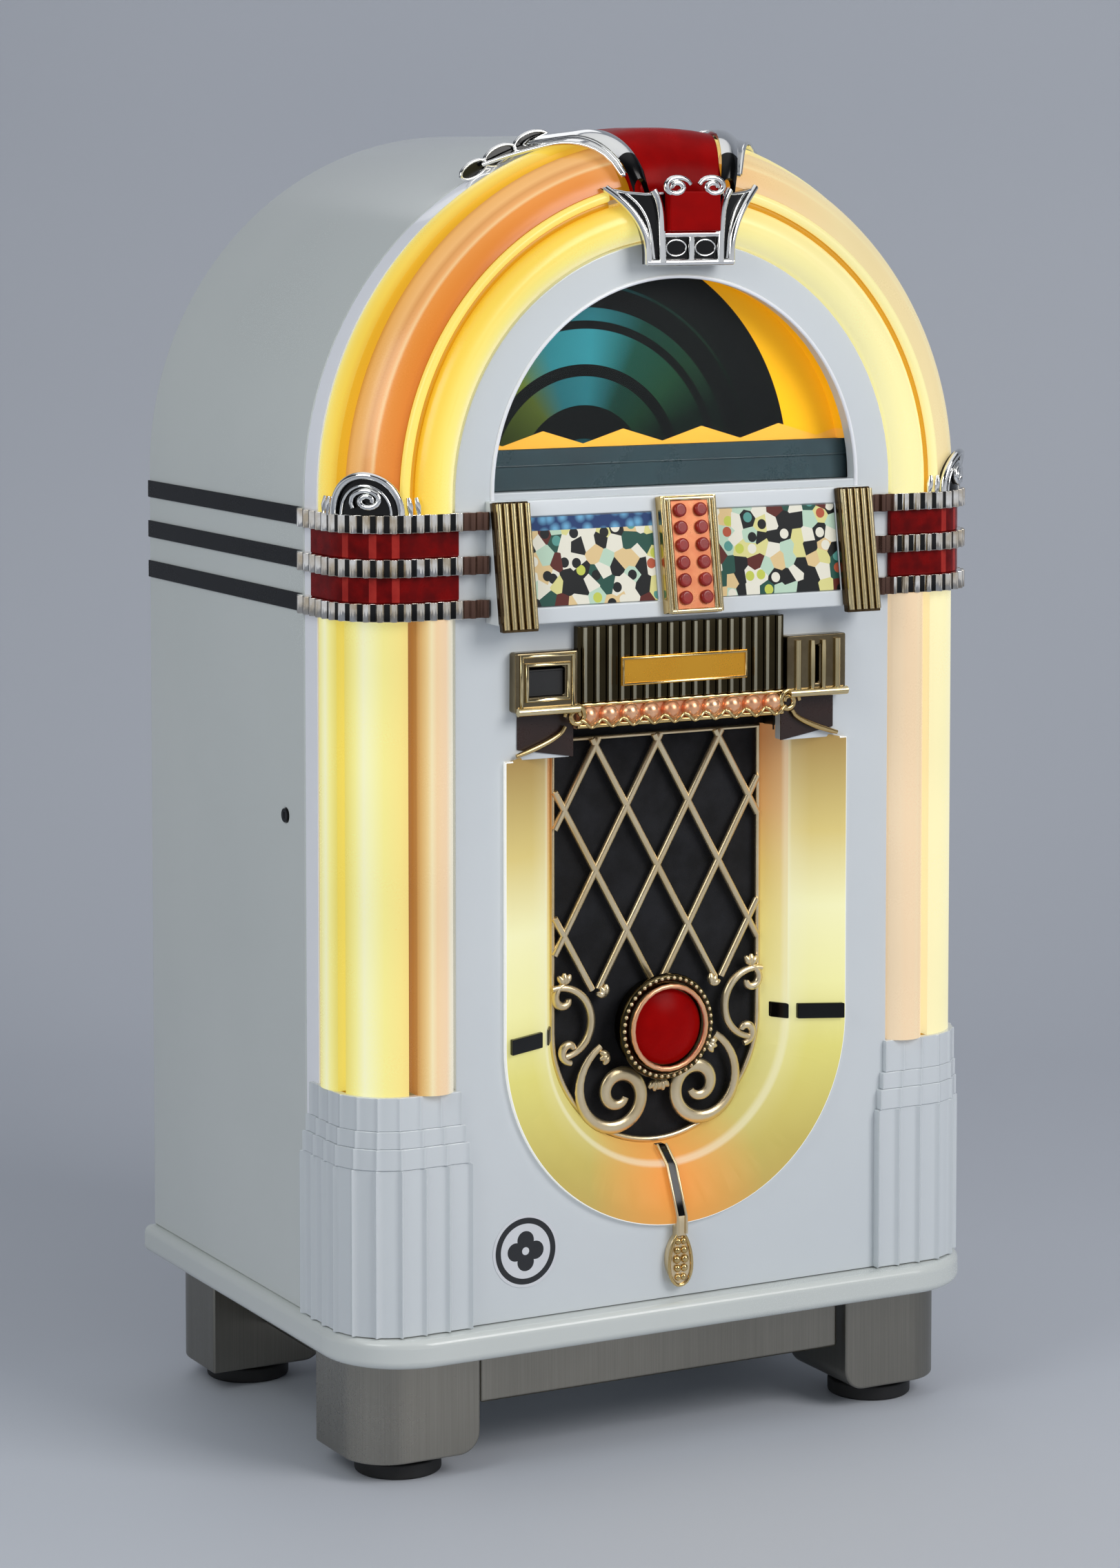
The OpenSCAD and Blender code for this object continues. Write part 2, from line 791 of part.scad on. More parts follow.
module transfer_arm() {
    boss_r = 13;
    bar = 12;
    arm_t = 6;
    arm_gap = 2;
    color("lightgray") at_front() translate([arm_x, player_front, arm_z]) {
        rotate([-90, 0, 0]) translate([0, 0, -arm_gap]) cylinder(r = arm_pin_r, h = arm_gap + 14);
        rotate([90, 0, 0]) translate([0, 0, 0.5]) cylinder(r = boss_r, h = arm_t + arm_gap);
        translate([-bar / 2, -arm_t - arm_gap, 0]) cube([bar, arm_t, arm_reach - bar]);
        translate([-1.5 * bar, -arm_t - arm_gap, arm_reach - 2 * bar]) cube([3 * bar, arm_t, bar]);
    }
}
module disc_spindle() {
    clamp_r = 16;
    color("silver") at_front() translate([player_x, player_front, disc_z]) rotate([90, 0, 0]) {
        translate([0, 0, -18]) cylinder(r = spindle_r, h = 30);
        translate([0, 0, 0.5]) cylinder(r = clamp_r, h = 5);
        translate([0, 0, 5]) cylinder(r = 7, h = 5);
    }
}

// Door hung on three butt hinges at the right-hand edge
module knuckles(low, high) {
    for (z = hinge_zs) translate([hinge_x, hinge_y, z + low]) cylinder(r = knuckle_r, h = high - low);
}
module cabinet_hinges() {
    color("silver") at_front() {
        knuckles(-knuckle_h, -fit);
        for (z = hinge_zs) {
            translate([half_w, cab_front + fit, z - knuckle_h]) {
                cube([leaf_t, leaf_d, knuckle_h - fit]);
            }
            translate([hinge_x, hinge_y, z - fit]) cylinder(r = pin_r, h = knuckle_h);
        }
    }
}
module door_hinges() {
    leaf_w = door_d - side_lens_end;
    color("silver") at_front() difference() {
        union() {
            knuckles(0, knuckle_h);
            for (z = hinge_zs) {
                translate([half_w, door_d - leaf_w + side_lens_bulge / 2, z]) {
                    cube([leaf_t, leaf_w - side_lens_bulge / 2, knuckle_h]);
                }
            }
        }
        for (z = hinge_zs) translate([hinge_x, hinge_y, z - 1]) {
            cylinder(r = pin_r + run, h = knuckle_h + 2);
        }
    }
}
module lock_barrel() {
    cam_w = 14;
    cam_l = 40;
    color([0.08, 0.08, 0.08]) at_front() translate([-half_w, lock_setback, lock_h]) difference() {
        union() {
            translate([-2, 0, 0]) rotate([0, 90, 0]) cylinder(r = lock_r, h = wall + 12);
            translate([wall + 4, -cam_w / 2, -cam_w / 2]) cube([4, cam_w, cam_l]);
        }
        translate([-3, -1, -lock_r / 2]) cube([8, 2, lock_r]);
    }
}

// Door
module coin_box_hole(grow) {
    for (x = [-coin_x, coin_x]) translate([x, coin_mid]) {
        square([coin_w - 2 * coin_wall + 2 * grow, coin_h - 2 * coin_wall + 2 * grow], center = true);
    }
}
module u_outline(r, top) {
    translate([-r, u_h]) square([2 * r, top - u_h]);
    intersection() {
        translate([0, u_h]) circle(r);
        translate([-r, u_h - r]) square([2 * r, r]);
    }
}
module window_outline(r, low) {
    intersection() {
        translate([0, spring_h + window_rise]) circle(r);
        translate([-r, low]) square([2 * r, spring_h + window_rise + r - low]);
    }
}
// Floor of the door, inside the trough
module door_floor_section() {
    translate([0, panel_t]) square([edge_in, door_d - panel_t]);
    translate([0, lens_d]) square([corner_u, door_d - lens_d]);
    translate([corner_u, corner_v]) circle(trough_r - trough_t / 2);
    translate([0, corner_v]) square([trough_side - trough_t / 2, door_d - corner_v]);
}
door_floor_t = 12;
module door_frame() {
    color("whitesmoke") at_front() difference() {
        union() {
            upright(0, panel_t) arch_outline(edge_out, door_low);
            both_sides() raise(door_low, spring_h) trough_section();
            arch_sweep(0, 180) trough_section();
            both_sides() raise(door_low, door_low + door_floor_t) door_floor_section();
        }
        upright(-1, panel_t + 1) {
            window_outline(window_r, spring_h + window_rise);
            u_outline(u_hole_r + fit, u_top);
            u_outline(u_in_r, grille_top);
            coin_box_hole(fit);
        }
    }
}
module window_glass() {
    color([0.8, 0.9, 0.9, 0.4]) at_front() upright(panel_t, panel_t + glass_t) {
        window_outline(window_r + window_lap, spring_h + window_rise - window_lap);
    }
}
// Shallow box behind the glass: a rim and a back that carries the picture
module picture_board() {
    rim = 4;
    outer_r = window_r + window_lap;
    low = spring_h + window_rise - window_lap;
    color("darkslategray") at_front() translate([0, panel_t + glass_t, 0]) difference() {
        upright(0, picture_d) window_outline(outer_r, low);
        upright(-1, picture_d - rim) window_outline(outer_r - rim, low + rim);
    }
}

// Lit tubes
// One side of an arch tube, from its short upright foot to the crown
module half_arch() {
    arch_sweep(0, 90 - crown_span) children();
    raise(band_top, spring_h) children();
}
module yellow_tubes() {
    color("khaki") at_front() {
        both_sides() raise(casting_top, band_low) {
            corner_lens_section();
            side_lens_section();
        }
        arch_sweep(0, 180) front_lens_section();
        both_sides() {
            raise(band_top, spring_h) front_lens_section();
            half_arch() side_lens_section();
        }
    }
}
module orange_tube() {
    color("sandybrown") at_front() both_sides() half_arch() corner_lens_section();
}
module peach_tubes() {
    color("moccasin") at_front() both_sides() raise(casting_top, band_low) front_lens_section();
}
module lamps() {
    seat = trough_r + fit + lamp_r;
    lamp_end = 20;
    lamp_u = corner_u + seat * cos(45);
    lamp_v = corner_v - seat * sin(45);
    color("ivory") at_front() {
        both_sides() translate([lamp_u, lamp_v, casting_top + lamp_end]) {
            cylinder(r = lamp_r, h = band_low - casting_top - 2 * lamp_end);
        }
        arch_sweep(lamp_end, 90 - crown_span - 2 * lamp_end) translate([lamp_u, lamp_v]) circle(lamp_r);
        arch_sweep(90 + crown_span + lamp_end, 90 - crown_span - 2 * lamp_end) {
            translate([lamp_u, lamp_v]) circle(lamp_r);
        }
    }
}

// Crown of the arch
crest_w = 73;
crest_h = 40;
crest_drop = 36;
crest_z = spring_h + front_lens_out - crest_drop;
key_foot = 27;
key_low_z = spring_h + edge_out - key_foot;
key_head = 10;
key_top_z = spring_h + corner_u + key_head;
key_t = 20;
key_near = front_lens_bulge + fit + key_t;
module crown_section(r) {
    quarter_ring(trough_r + fit, r);
    translate([trough_side + fit, corner_v]) square([r - trough_r - fit, side_lens_end - corner_v]);
}
module keystone() {
    low_half = 53;
    top_half = 82;
    color("silver") at_front() {
        difference() {
            union() {
                upright(-key_near, -front_lens_bulge - fit) {
                    polygon([[-low_half, key_low_z], [low_half, key_low_z], [top_half, key_top_z],
                        [-top_half, key_top_z]]);
                }
                upright(-front_lens_bulge - fit, 0) translate([-low_half + 4, key_low_z]) {
                    square([2 * low_half - 8, 20]);
                }
            }
            upright(-key_near - 1, -front_lens_bulge) translate([-crest_w / 2, crest_z]) {
                square([crest_w, crest_h]);
            }
        }
        for (from = [90 - crown_span, 90 + crown_angle]) arch_sweep(from, rib_angle) crown_section(rib_r);
    }
}
module red_lenses() {
    color("firebrick") at_front() {
        arch_sweep(90 - crown_angle, 2 * crown_angle) crown_section(crown_r);
        upright(-key_near - 5, -front_lens_bulge - fit) translate([-crest_w / 2, crest_z]) {
            square([crest_w, crest_h]);
        }
        translate([0, jewel_seat, u_h]) rotate([90, 0, 0]) intersection() {
            cylinder(r = jewel_r, h = jewel_dome);
            dome_r = (jewel_r * jewel_r + jewel_dome * jewel_dome) / (2 * jewel_dome);
            translate([0, 0, jewel_dome - dome_r]) sphere(dome_r);
        }
        both_sides() for (i = [0 : 1]) {
            low = band_low + band_h + i * (band_h + inlay_h);
            raise(low, low + inlay_h) wrap_section(inlay_r, edge_out - 2, side_lens_end - 14);
        }
    }
}
module scroll_ornaments() {
    wing_span = 16;
    wing_proud = 15;
    scroll_wall = 12;
    color("silver") at_front() {
        for (from = [90 - crown_span - wing_span, 90 + crown_span]) arch_sweep(from, wing_span) {
            translate([half_w + fit, side_lens_end + 1]) square([wing_proud, door_d - side_lens_end - 2]);
        }
        both_sides() for (lobe = [[10, 1], [22, 0.8], [34, 0.5]]) {
            raise(band_top, band_top + lobe[1] * scroll_h) intersection() {
                quarter_ring(lens_r + 2, lens_r + 2 + scroll_wall);
                translate([corner_u, corner_v]) polygon(concat([[0, 0]],
                    [for (a = [45 - lobe[0], 45 + lobe[0]]) 3 * lens_r * [sin(a), -cos(a)]]));
            }
        }
    }
}

// Castings round the pilasters
module mid_bands() {
    color("silver") at_front() both_sides() for (i = [0 : 2]) {
        low = band_low + i * (band_h + inlay_h);
        raise(low, low + band_h) wrap_section(band_r, title_w / 2 + 1, door_d);
    }
}
module foot_castings() {
    inner = edge_out - 16;
    collar_h = 60;
    flute_r = 7;
    flutes = 7;
    body_top = casting_top - collar_h;
    color("whitesmoke") at_front() both_sides() {
        difference() {
            raise(door_low, body_top) wrap_section(casting_r, inner, door_d);
            for (i = [0 : flutes - 1]) translate([corner_u, corner_v, door_low - 1]) {
                rotate(-90 + (i + 0.5) * 90 / flutes) translate([casting_r + flute_r / 2, 0, 0]) {
                    cylinder(r = flute_r, h = casting_h - collar_h + 2);
                }
            }
            for (i = [0 : 3]) {
                translate([inner + 12 + i * 16, corner_v - casting_r - flute_r / 2, door_low - 1]) {
                    cylinder(r = flute_r, h = casting_h - collar_h + 2);
                }
            }
        }
        for (step = [[0, 20, 2], [20, 40, 4], [40, collar_h, 6]]) {
            raise(body_top + step[0], body_top + step[1]) wrap_section(casting_r - step[2], inner, door_d);
        }
    }
}

// Title panel with its keys
module title_housing() {
    top_d = title_d - title_h / 2 * tan(title_lean);
    low_d = title_d + title_h / 2 * tan(title_lean);
    color("whitesmoke") at_front() difference() {
        across(-title_w / 2, title_w / 2) {
            polygon([[0, title_low], [0, title_top], [-top_d, title_top], [-low_d, title_low]]);
        }
        on_panel() {
            both_sides() translate([card_in, -card_h / 2, -card_recess]) {
                cube([card_out - card_in, card_h, card_recess + 1]);
            }
            translate([-key_columns / 2 - flange_r - 1, key_low - flange_r - 1, -key_well]) {
                cube([key_columns + 2 * flange_r + 2, -2 * key_low + 2 * flange_r + 2, key_well + 1]);
            }
        }
    }
}
module title_cards() {
    color("lightyellow") at_front() on_panel() both_sides() {
        translate([card_in + 1, -card_h / 2 + 1, -card_recess]) {
            cube([card_out - card_in - 2, card_h - 2, card_t]);
        }
    }
}
module title_ends() {
    ribs = 5;
    pitch = end_w / ribs;
    color("darkkhaki") at_front() on_panel() both_sides() {
        translate([card_out, -title_h / 2 + 1, 0]) cube([end_w, title_h - 2, end_t - pitch / 2]);
        for (i = [0 : ribs - 1]) {
            translate([card_out + (i + 0.5) * pitch, -title_h / 2 + 1, end_t - pitch / 2]) {
                rotate([-90, 0, 0]) cylinder(r = pitch / 2, h = title_h - 2);
            }
        }
    }
}
module key_places() {
    for (i = [0 : button_count - 1]) translate(key_place(i)) children();
}
function key_place(i) = [(i % 2 - 0.5) * key_columns, key_low + floor(i / 2) * key_pitch, 0];
module key_plate() {
    color("goldenrod") at_front() on_panel() difference() {
        translate([-key_plate_w / 2, -key_plate_h / 2, 0]) cube([key_plate_w, key_plate_h, key_plate_t]);
        key_places() translate([0, 0, -1]) cylinder(r = key_r + fit, h = key_plate_t + 2);
    }
}
module push_button(i) {
    color("firebrick") at_front() on_panel() translate(key_place(i)) {
        translate([0, 0, -fit - flange_t]) cylinder(r = flange_r, h = flange_t);
        translate([0, 0, -fit]) cylinder(r = key_r, h = fit + key_plate_t + key_proud);
    }
}

// Coin section
module coin_apron() {
    ribs = floor((apron_w - apron_rib_r) / apron_pitch);
    color("saddlebrown") at_front() {
        translate([-apron_w, -apron_t, apron_low]) cube([2 * apron_w, apron_t, apron_h]);
        for (i = [-ribs : ribs]) translate([i * apron_pitch, -apron_t, apron_low]) {
            cylinder(r = apron_rib_r, h = apron_h);
        }
        both_sides() translate([coin_in, -2, u_top + fit]) cube([coin_w - 10, 2, coin_low - u_top - 2 * fit]);
    }
}
module name_plate() {
    plate_low = (apron_low + apron_top - plate_h) / 2 - plate_drop;
    color("gold") at_front() translate([-plate_w / 2, -rib_face - plate_t, plate_low]) {
        cube([plate_w, plate_t, plate_h]);
    }
}
module bead_rail() {
    bar_d = 6;
    rail_h = apron_low - rail_low;
    color("rosybrown") at_front() {
        translate([-apron_w, -bar_d, rail_low]) cube([2 * apron_w, bar_d, rail_h]);
        difference() {
            for (i = [0 : bead_count - 1]) {
                bead_x = (i - (bead_count - 1) / 2) * bead_pitch;
                translate([bead_x, -bar_d, rail_low + rail_h / 2]) sphere(bead_r);
            }
            translate([-apron_w, -bar_d / 2, rail_low]) cube([2 * apron_w, 2 * bead_r, rail_h]);
        }
    }
}
module coin_boxes() {
    color("tan") at_front() difference() {
        union() {
            upright(-coin_proud, 0) for (x = [-coin_x, coin_x]) {
                translate([x, coin_mid]) square([coin_w - 2 * coin_gap, coin_h], center = true);
            }
            upright(0, coin_back) coin_box_hole(0);
        }
        translate([coin_x - slot_w / 2, -coin_proud - 1, coin_mid - slot_h / 2]) {
            cube([slot_w, coin_proud + coin_back + 2, slot_h]);
        }
        translate([-coin_x - return_w / 2, -coin_proud - 1, coin_mid - return_h / 2]) {
            cube([return_w, coin_proud + coin_back - 3, return_h]);
        }
        translate([-coin_x, flap_y, flap_axis_h]) rotate([0, 90, 0]) {
            cylinder(r = flap_pin_r + run, h = return_w + 8, center = true);
        }
    }
}
module coin_flap() {
    hang = flap_axis_h - (coin_mid - return_h / 2) - flap_gap;
    color([0.05, 0.05, 0.05]) at_front() translate([-coin_x, flap_y, flap_axis_h]) {
        rotate([0, 90, 0]) cylinder(r = flap_pin_r, h = return_w + 7, center = true);
        translate([-return_w / 2 + flap_gap, -flap_t / 2, -hang]) {
            cube([return_w - 2 * flap_gap, flap_t, hang]);
        }
    }
}
module coin_validator() {
    mech_w = 2 * (coin_x - u_in_r - cloth_lap - coin_gap);
    mech_d = 48;
    mech_low = u_top + 8;
    color("dimgray") at_front() difference() {
        translate([coin_x - mech_w / 2, coin_back, mech_low]) {
            cube([mech_w, mech_d, coin_mid + slot_h / 2 + 6 - mech_low]);
        }
        translate([coin_x - slot_w / 2, coin_back - 1, coin_mid - slot_h / 2]) {
            cube([slot_w, mech_d / 2, slot_h]);
        }
    }
}

// Grille
module u_section() {
    shell = 6;
    polygon([[u_r, -lip_proud], [u_hole_r - 1, -lip_proud], [crease_r, crease_y], [u_in_r, funnel_y],
        [u_in_r, grille_depth], [u_in_r + cloth_lap, grille_depth], [crease_r + shell, crease_y + shell + 1],
        [u_hole_r, shell - 2], [u_hole_r, 0], [u_r, 0]]);
}
module u_light() {
    color("lemonchiffon") at_front() {
        both_sides() raise(u_h, u_top) u_section();
        translate([0, 0, u_h]) rotate([90, 0, 0]) rotate([0, 0, 180]) {
            rotate_extrude(angle = 180) mirror([0, 1]) u_section();
        }
    }
}
module grille_cloth() {
    color([0.04, 0.04, 0.06]) at_front() upright(grille_depth, grille_depth + cloth_t) {
        u_outline(u_in_r + cloth_lap, grille_top + cloth_lap - 1);
    }
}
module curl(x, z, r) {
    translate([x, z]) difference() {
        circle(r);
        circle(r - 1.3 * bar_w);
    }
}
module grille_lattice() {
    edge = u_in_r - 1;
    lattice_low = u_h + lattice_rise;
    // Place across, place up and radius of each curl
    curls = [[side_curl_x, side_curl_up, side_curl_r], [low_curl_x, -low_curl_down, low_curl_r],
        [eye_x, -low_curl_down, eye_r]];
    bar_angle = atan2(lattice_h, lattice_w);
    bar_l = 2 * grille_top;
    color("darkgoldenrod") at_front() {
        upright(grille_depth - bar_t, grille_depth) {
            difference() {
                u_outline(edge, grille_top - 2);
                u_outline(edge - bar_w, grille_top - 2 - bar_w);
            }
            intersection() {
                u_outline(edge, grille_top - 2);
                translate([-edge, lattice_low]) square([2 * edge, grille_top - lattice_low]);
                union() for (i = [-4 : 4], side = [-1, 1]) {
                    translate([i * lattice_w, lattice_low + lattice_h]) rotate(side * bar_angle) {
                        square([bar_l, bar_w], center = true);
                    }
                }
            }
            intersection() {
                u_outline(edge, grille_top - 2);
                union() for (side = [-1, 1], c = curls) curl(side * c[0], u_h + c[1], c[2]);
            }
            translate([0, u_h]) circle(jewel_r + jewel_rim);
        }
        translate([0, grille_depth - bar_t, u_h]) rotate([90, 0, 0]) {
            cylinder(r = jewel_r + jewel_rim / 2, h = grille_depth - bar_t - jewel_seat);
        }
        translate([0, jewel_seat, u_h]) rotate([90, 0, 0]) difference() {
            cylinder(r = jewel_r + jewel_rim, h = 8);
            translate([0, 0, -1]) cylinder(r = jewel_r + fit, h = 10);
        }
        translate([0, jewel_seat + 4, u_h]) rotate([90, 0, 0]) cylinder(r = jewel_r + jewel_rim, h = 4);
    }
}
// Stem that follows the light's slope and hooks over its lip, and a leaf below it
module pendant() {
    stem_w = 12;
    stem_t = 6;
    stem_gap = 4 * fit;
    drop_w = 34;
    drop_t = 9;
    drop_top = u_h - u_r - hook_gap;
    leaf_r = (drop_h * drop_h / 4 + drop_w * drop_w / 4) / drop_w;
    color("goldenrod") at_front() {
        across(-stem_w / 2, stem_w / 2) polygon([
            [funnel_y - stem_gap, u_h - u_in_r - fit], [crease_y - 2 * fit, u_h - crease_r - fit],
            [-lip_proud - fit, u_h - u_hole_r + 2], [-lip_proud - fit, drop_top], [0, drop_top],
            [0, drop_top - hook_h], [-lip_proud - stem_t, drop_top - hook_h],
            [-lip_proud - stem_t, u_h - u_hole_r + 2],
            [crease_y - stem_t - 2, u_h - crease_r], [funnel_y - 2 * stem_t, u_h - u_in_r - fit]]);
        upright(-drop_t, 0) translate([0, door_low + drop_clear + drop_h / 2]) intersection() {
            translate([leaf_r - drop_w / 2, 0]) circle(leaf_r);
            translate([drop_w / 2 - leaf_r, 0]) circle(leaf_r);
        }
    }
}

base_moulding();
base_feet();
glides();
shelves();
side_panels();
arch_roof();
back_panel();
back_screws();
mains_inlet();
side_stripes();
speaker_baffle();
speakers();
amplifier();
cash_box();
player_deck();
cabinet_hinges();
lock_barrel();
disc_magazine();
compact_discs();
transfer_arm();
disc_spindle();
door_frame();
door_hinges();
window_glass();
picture_board();
yellow_tubes();
orange_tube();
peach_tubes();
lamps();
keystone();
red_lenses();
scroll_ornaments();
mid_bands();
foot_castings();
title_housing();
title_cards();
title_ends();
key_plate();
coin_apron();
name_plate();
bead_rail();
coin_boxes();
coin_flap();
coin_validator();
u_light();
grille_cloth();
grille_lattice();
pendant();
for (i = [0 : button_count - 1]) push_button(i);
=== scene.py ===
# Arch-topped compact disc jukebox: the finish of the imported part, in metres, in the part's own frame.
from math import atan2, copysign, cos, degrees, exp, hypot, pi, radians, sin, sqrt

import bpy
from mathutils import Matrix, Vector


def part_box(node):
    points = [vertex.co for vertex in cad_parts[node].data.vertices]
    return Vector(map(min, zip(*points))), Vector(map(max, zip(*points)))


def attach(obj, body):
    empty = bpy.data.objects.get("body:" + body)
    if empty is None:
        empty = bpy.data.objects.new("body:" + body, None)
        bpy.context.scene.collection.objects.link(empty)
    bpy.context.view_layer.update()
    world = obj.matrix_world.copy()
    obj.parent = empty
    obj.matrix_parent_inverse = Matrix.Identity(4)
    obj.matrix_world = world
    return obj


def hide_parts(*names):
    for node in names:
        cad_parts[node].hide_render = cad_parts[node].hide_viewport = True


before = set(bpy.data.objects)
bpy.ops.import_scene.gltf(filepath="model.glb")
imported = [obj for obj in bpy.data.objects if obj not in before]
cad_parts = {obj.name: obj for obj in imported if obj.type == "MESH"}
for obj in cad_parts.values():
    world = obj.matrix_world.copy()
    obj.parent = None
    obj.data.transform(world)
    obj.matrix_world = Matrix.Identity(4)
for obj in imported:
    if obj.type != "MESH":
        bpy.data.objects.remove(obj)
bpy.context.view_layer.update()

# Camera
# A long lens at eye height, in front of the jukebox and to its left. The frame is shifted down, as on
# a view camera, so that the uprights stay almost upright.
camera_place = (-2.347, -4.362, 1.491)
camera_turn = radians(-28.21)
camera_tilt = radians(4.06)
bpy.ops.object.camera_add(location=camera_place, rotation=(pi / 2 - camera_tilt, 0, camera_turn))
camera = bpy.context.object
camera.data.lens = 94.87
camera.data.shift_y = -0.21
bpy.context.scene.camera = camera
bpy.context.scene.view_settings.view_transform = "Standard"


# Studio
# A pale seamless floor that curves up into a backdrop, lit by three soft boxes and an even sky. The
# backdrop is clear from behind, so that the back of the jukebox can be seen too.
def tone(value):
    """A screen colour such as "#d2d6dc" as the linear colour that a shader takes. Other values stay."""
    if not isinstance(value, str):
        return value
    levels = [int(value[i:i + 2], 16) / 255 for i in (1, 3, 5)]
    return (*[((c + 0.055) / 1.055) ** 2.4 if c > 0.04045 else c / 12.92 for c in levels], 1.0)


class Shade:
    """Builds a node tree. Inputs of its nodes are values, colours or the outputs of other nodes."""

    def __init__(self, tree):
        self.tree = tree
        self.shader = tree.nodes.get("Principled BSDF")

    def put(self, kind, inputs=(), **settings):
        """Adds a shader node, with its inputs by name or in order."""
        made = self.tree.nodes.new("ShaderNode" + kind)
        for name, value in settings.items():
            setattr(made, name, value)
        for key, value in inputs.items() if isinstance(inputs, dict) else enumerate(inputs):
            if isinstance(value, bpy.types.NodeSocket):
                self.tree.links.new(value, made.inputs[key])
            else:
                made.inputs[key].default_value = tone(value)
        return made

    def maths(self, operation, *values):
        return self.put("Math", values, operation=operation).outputs[0]

    def blend(self, factor, first, second, how="MIX"):
        colours = {0: factor, 6: first, 7: second}
        return self.put("Mix", colours, data_type="RGBA", blend_type=how).outputs[2]

    def times(self, first, second):
        return self.blend(1.0, first, second, "MULTIPLY")

    def spread(self, value, low, high, start=0.0, end=1.0):
        limits = {"Value": value, "From Min": low, "From Max": high, "To Min": start, "To Max": end}
        return self.put("MapRange", limits).outputs[0]

    def ramp(self, factor, stops, interpolation="LINEAR"):
        """A colour ramp through stops, each a place from 0 to 1 and a colour."""
        made = self.put("ValToRGB", [factor])
        made.color_ramp.interpolation = interpolation
        while len(made.color_ramp.elements) < len(stops):
            made.color_ramp.elements.new(1.0)
        for element, (place, colour) in zip(made.color_ramp.elements, stops):
            element.position = place
            element.color = tone(colour)
        return made.outputs[0]

    def place(self, centre=None):
        """The place on the piece, in its own frame, from a centre where one is given."""
        place = self.put("TexCoord").outputs["Object"]
        if centre is None:
            return place
        return self.put("Mapping", {"Vector": place, "Location": [-c for c in centre]}).outputs[0]

    def axes(self, vector):
        return tuple(self.put("SeparateXYZ", [vector]).outputs)

    def distance(self, x, z, centre):
        """How far a place on the front lies from a centre, each with x and z."""
        ends = [self.put("CombineXYZ", [x, 0.0, z]).outputs[0], (centre[0], 0.0, centre[1])]
        return self.put("VectorMath", ends, operation="DISTANCE").outputs["Value"]

    def noise(self, place, scale, detail):
        return self.put("TexNoise", {"Vector": place, "Scale": scale, "Detail": detail}).outputs[0]

    def emboss(self, height, strength, distance):
        """Gives the shader a relief."""
        relief = self.put("Bump", {"Height": height, "Strength": strength, "Distance": distance})
        self.feed(relief.outputs[0], "Normal")

    def feed(self, value, *sockets):
        """Links an output to sockets of the shader."""
        for socket in sockets:
            self.tree.links.new(value, self.shader.inputs[socket])

    def fed(self, socket):
        """The output that a socket of the shader is linked to."""
        return self.shader.inputs[socket].links[0].from_socket

    def fix(self, **constants):
        """Sets the shader's sockets to constants."""
        for socket, value in constants.items():
            self.shader.inputs[socket.replace("_", " ")].default_value = tone(value)


def mode(name):
    """Goes into edit or object mode."""
    bpy.ops.object.mode_set(mode=name)


def pick(*pieces):
    """Selects these pieces alone, and makes the first one active."""
    bpy.ops.object.select_all(action="DESELECT")
    for piece in pieces:
        piece.select_set(True)
    bpy.context.view_layer.objects.active = pieces[0]


def select(piece, kind, test):
    """Goes into edit mode with only the edges or faces selected whose corners all pass the test."""
    pick(piece)
    mode("EDIT")
    bpy.ops.mesh.select_mode(type=kind)
    bpy.ops.mesh.select_all(action="DESELECT")
    mode("OBJECT")
    corners = piece.data.vertices
    for part in piece.data.edges if kind == "EDGE" else piece.data.polygons:
        part.select = all(test(corners[i].co) for i in part.vertices)
    mode("EDIT")


floor_size = 16.0
backdrop_distance = 3.4
backdrop_height = 7.0
cove_radius = 1.6
bpy.ops.mesh.primitive_plane_add(size=floor_size)
floor = bpy.context.object
floor.name = "studio_floor"
for corner in floor.data.vertices:
    corner.co.y = min(corner.co.y, backdrop_distance)
select(floor, "EDGE", lambda place: place.y > 0)
bpy.ops.mesh.extrude_edges_move(TRANSFORM_OT_translate={"value": (0, 0, backdrop_height)})
mode("OBJECT")
select(floor, "EDGE", lambda place: place.y > 0 and place.z < 1)
bpy.ops.mesh.bevel(offset=cove_radius, segments=24)
mode("OBJECT")
bpy.ops.object.shade_smooth()
floor.rotation_euler.z = camera_turn
floor_paint = bpy.data.materials.new("studio_paper")
floor_paint.use_nodes = True
floor_shade = Shade(floor_paint.node_tree)
floor_cloud = floor_shade.noise(floor_shade.place(), 0.6, 2.0)
floor_behind = floor_shade.put("NewGeometry").outputs["Backfacing"]
floor_shade.feed(floor_shade.blend(floor_cloud, "#c4c9d2", "#ced2da"), "Base Color")
floor_shade.feed(floor_shade.maths("SUBTRACT", 1.0, floor_behind), "Alpha")
floor_shade.fix(Roughness=0.55)
floor.data.materials.append(floor_paint)


def soft_box(name, place, size, power, tint=(1.0, 1.0, 1.0)):
    """A square soft box that faces the middle of the jukebox."""
    facing = (Vector((0, 0, 0.8)) - Vector(place)).to_track_quat("-Z", "Y").to_euler()
    bpy.ops.object.light_add(type="AREA", location=place, rotation=facing)
    lamp = bpy.context.object
    lamp.name = name
    lamp.data.size = size
    lamp.data.energy = power
    lamp.data.color = tint


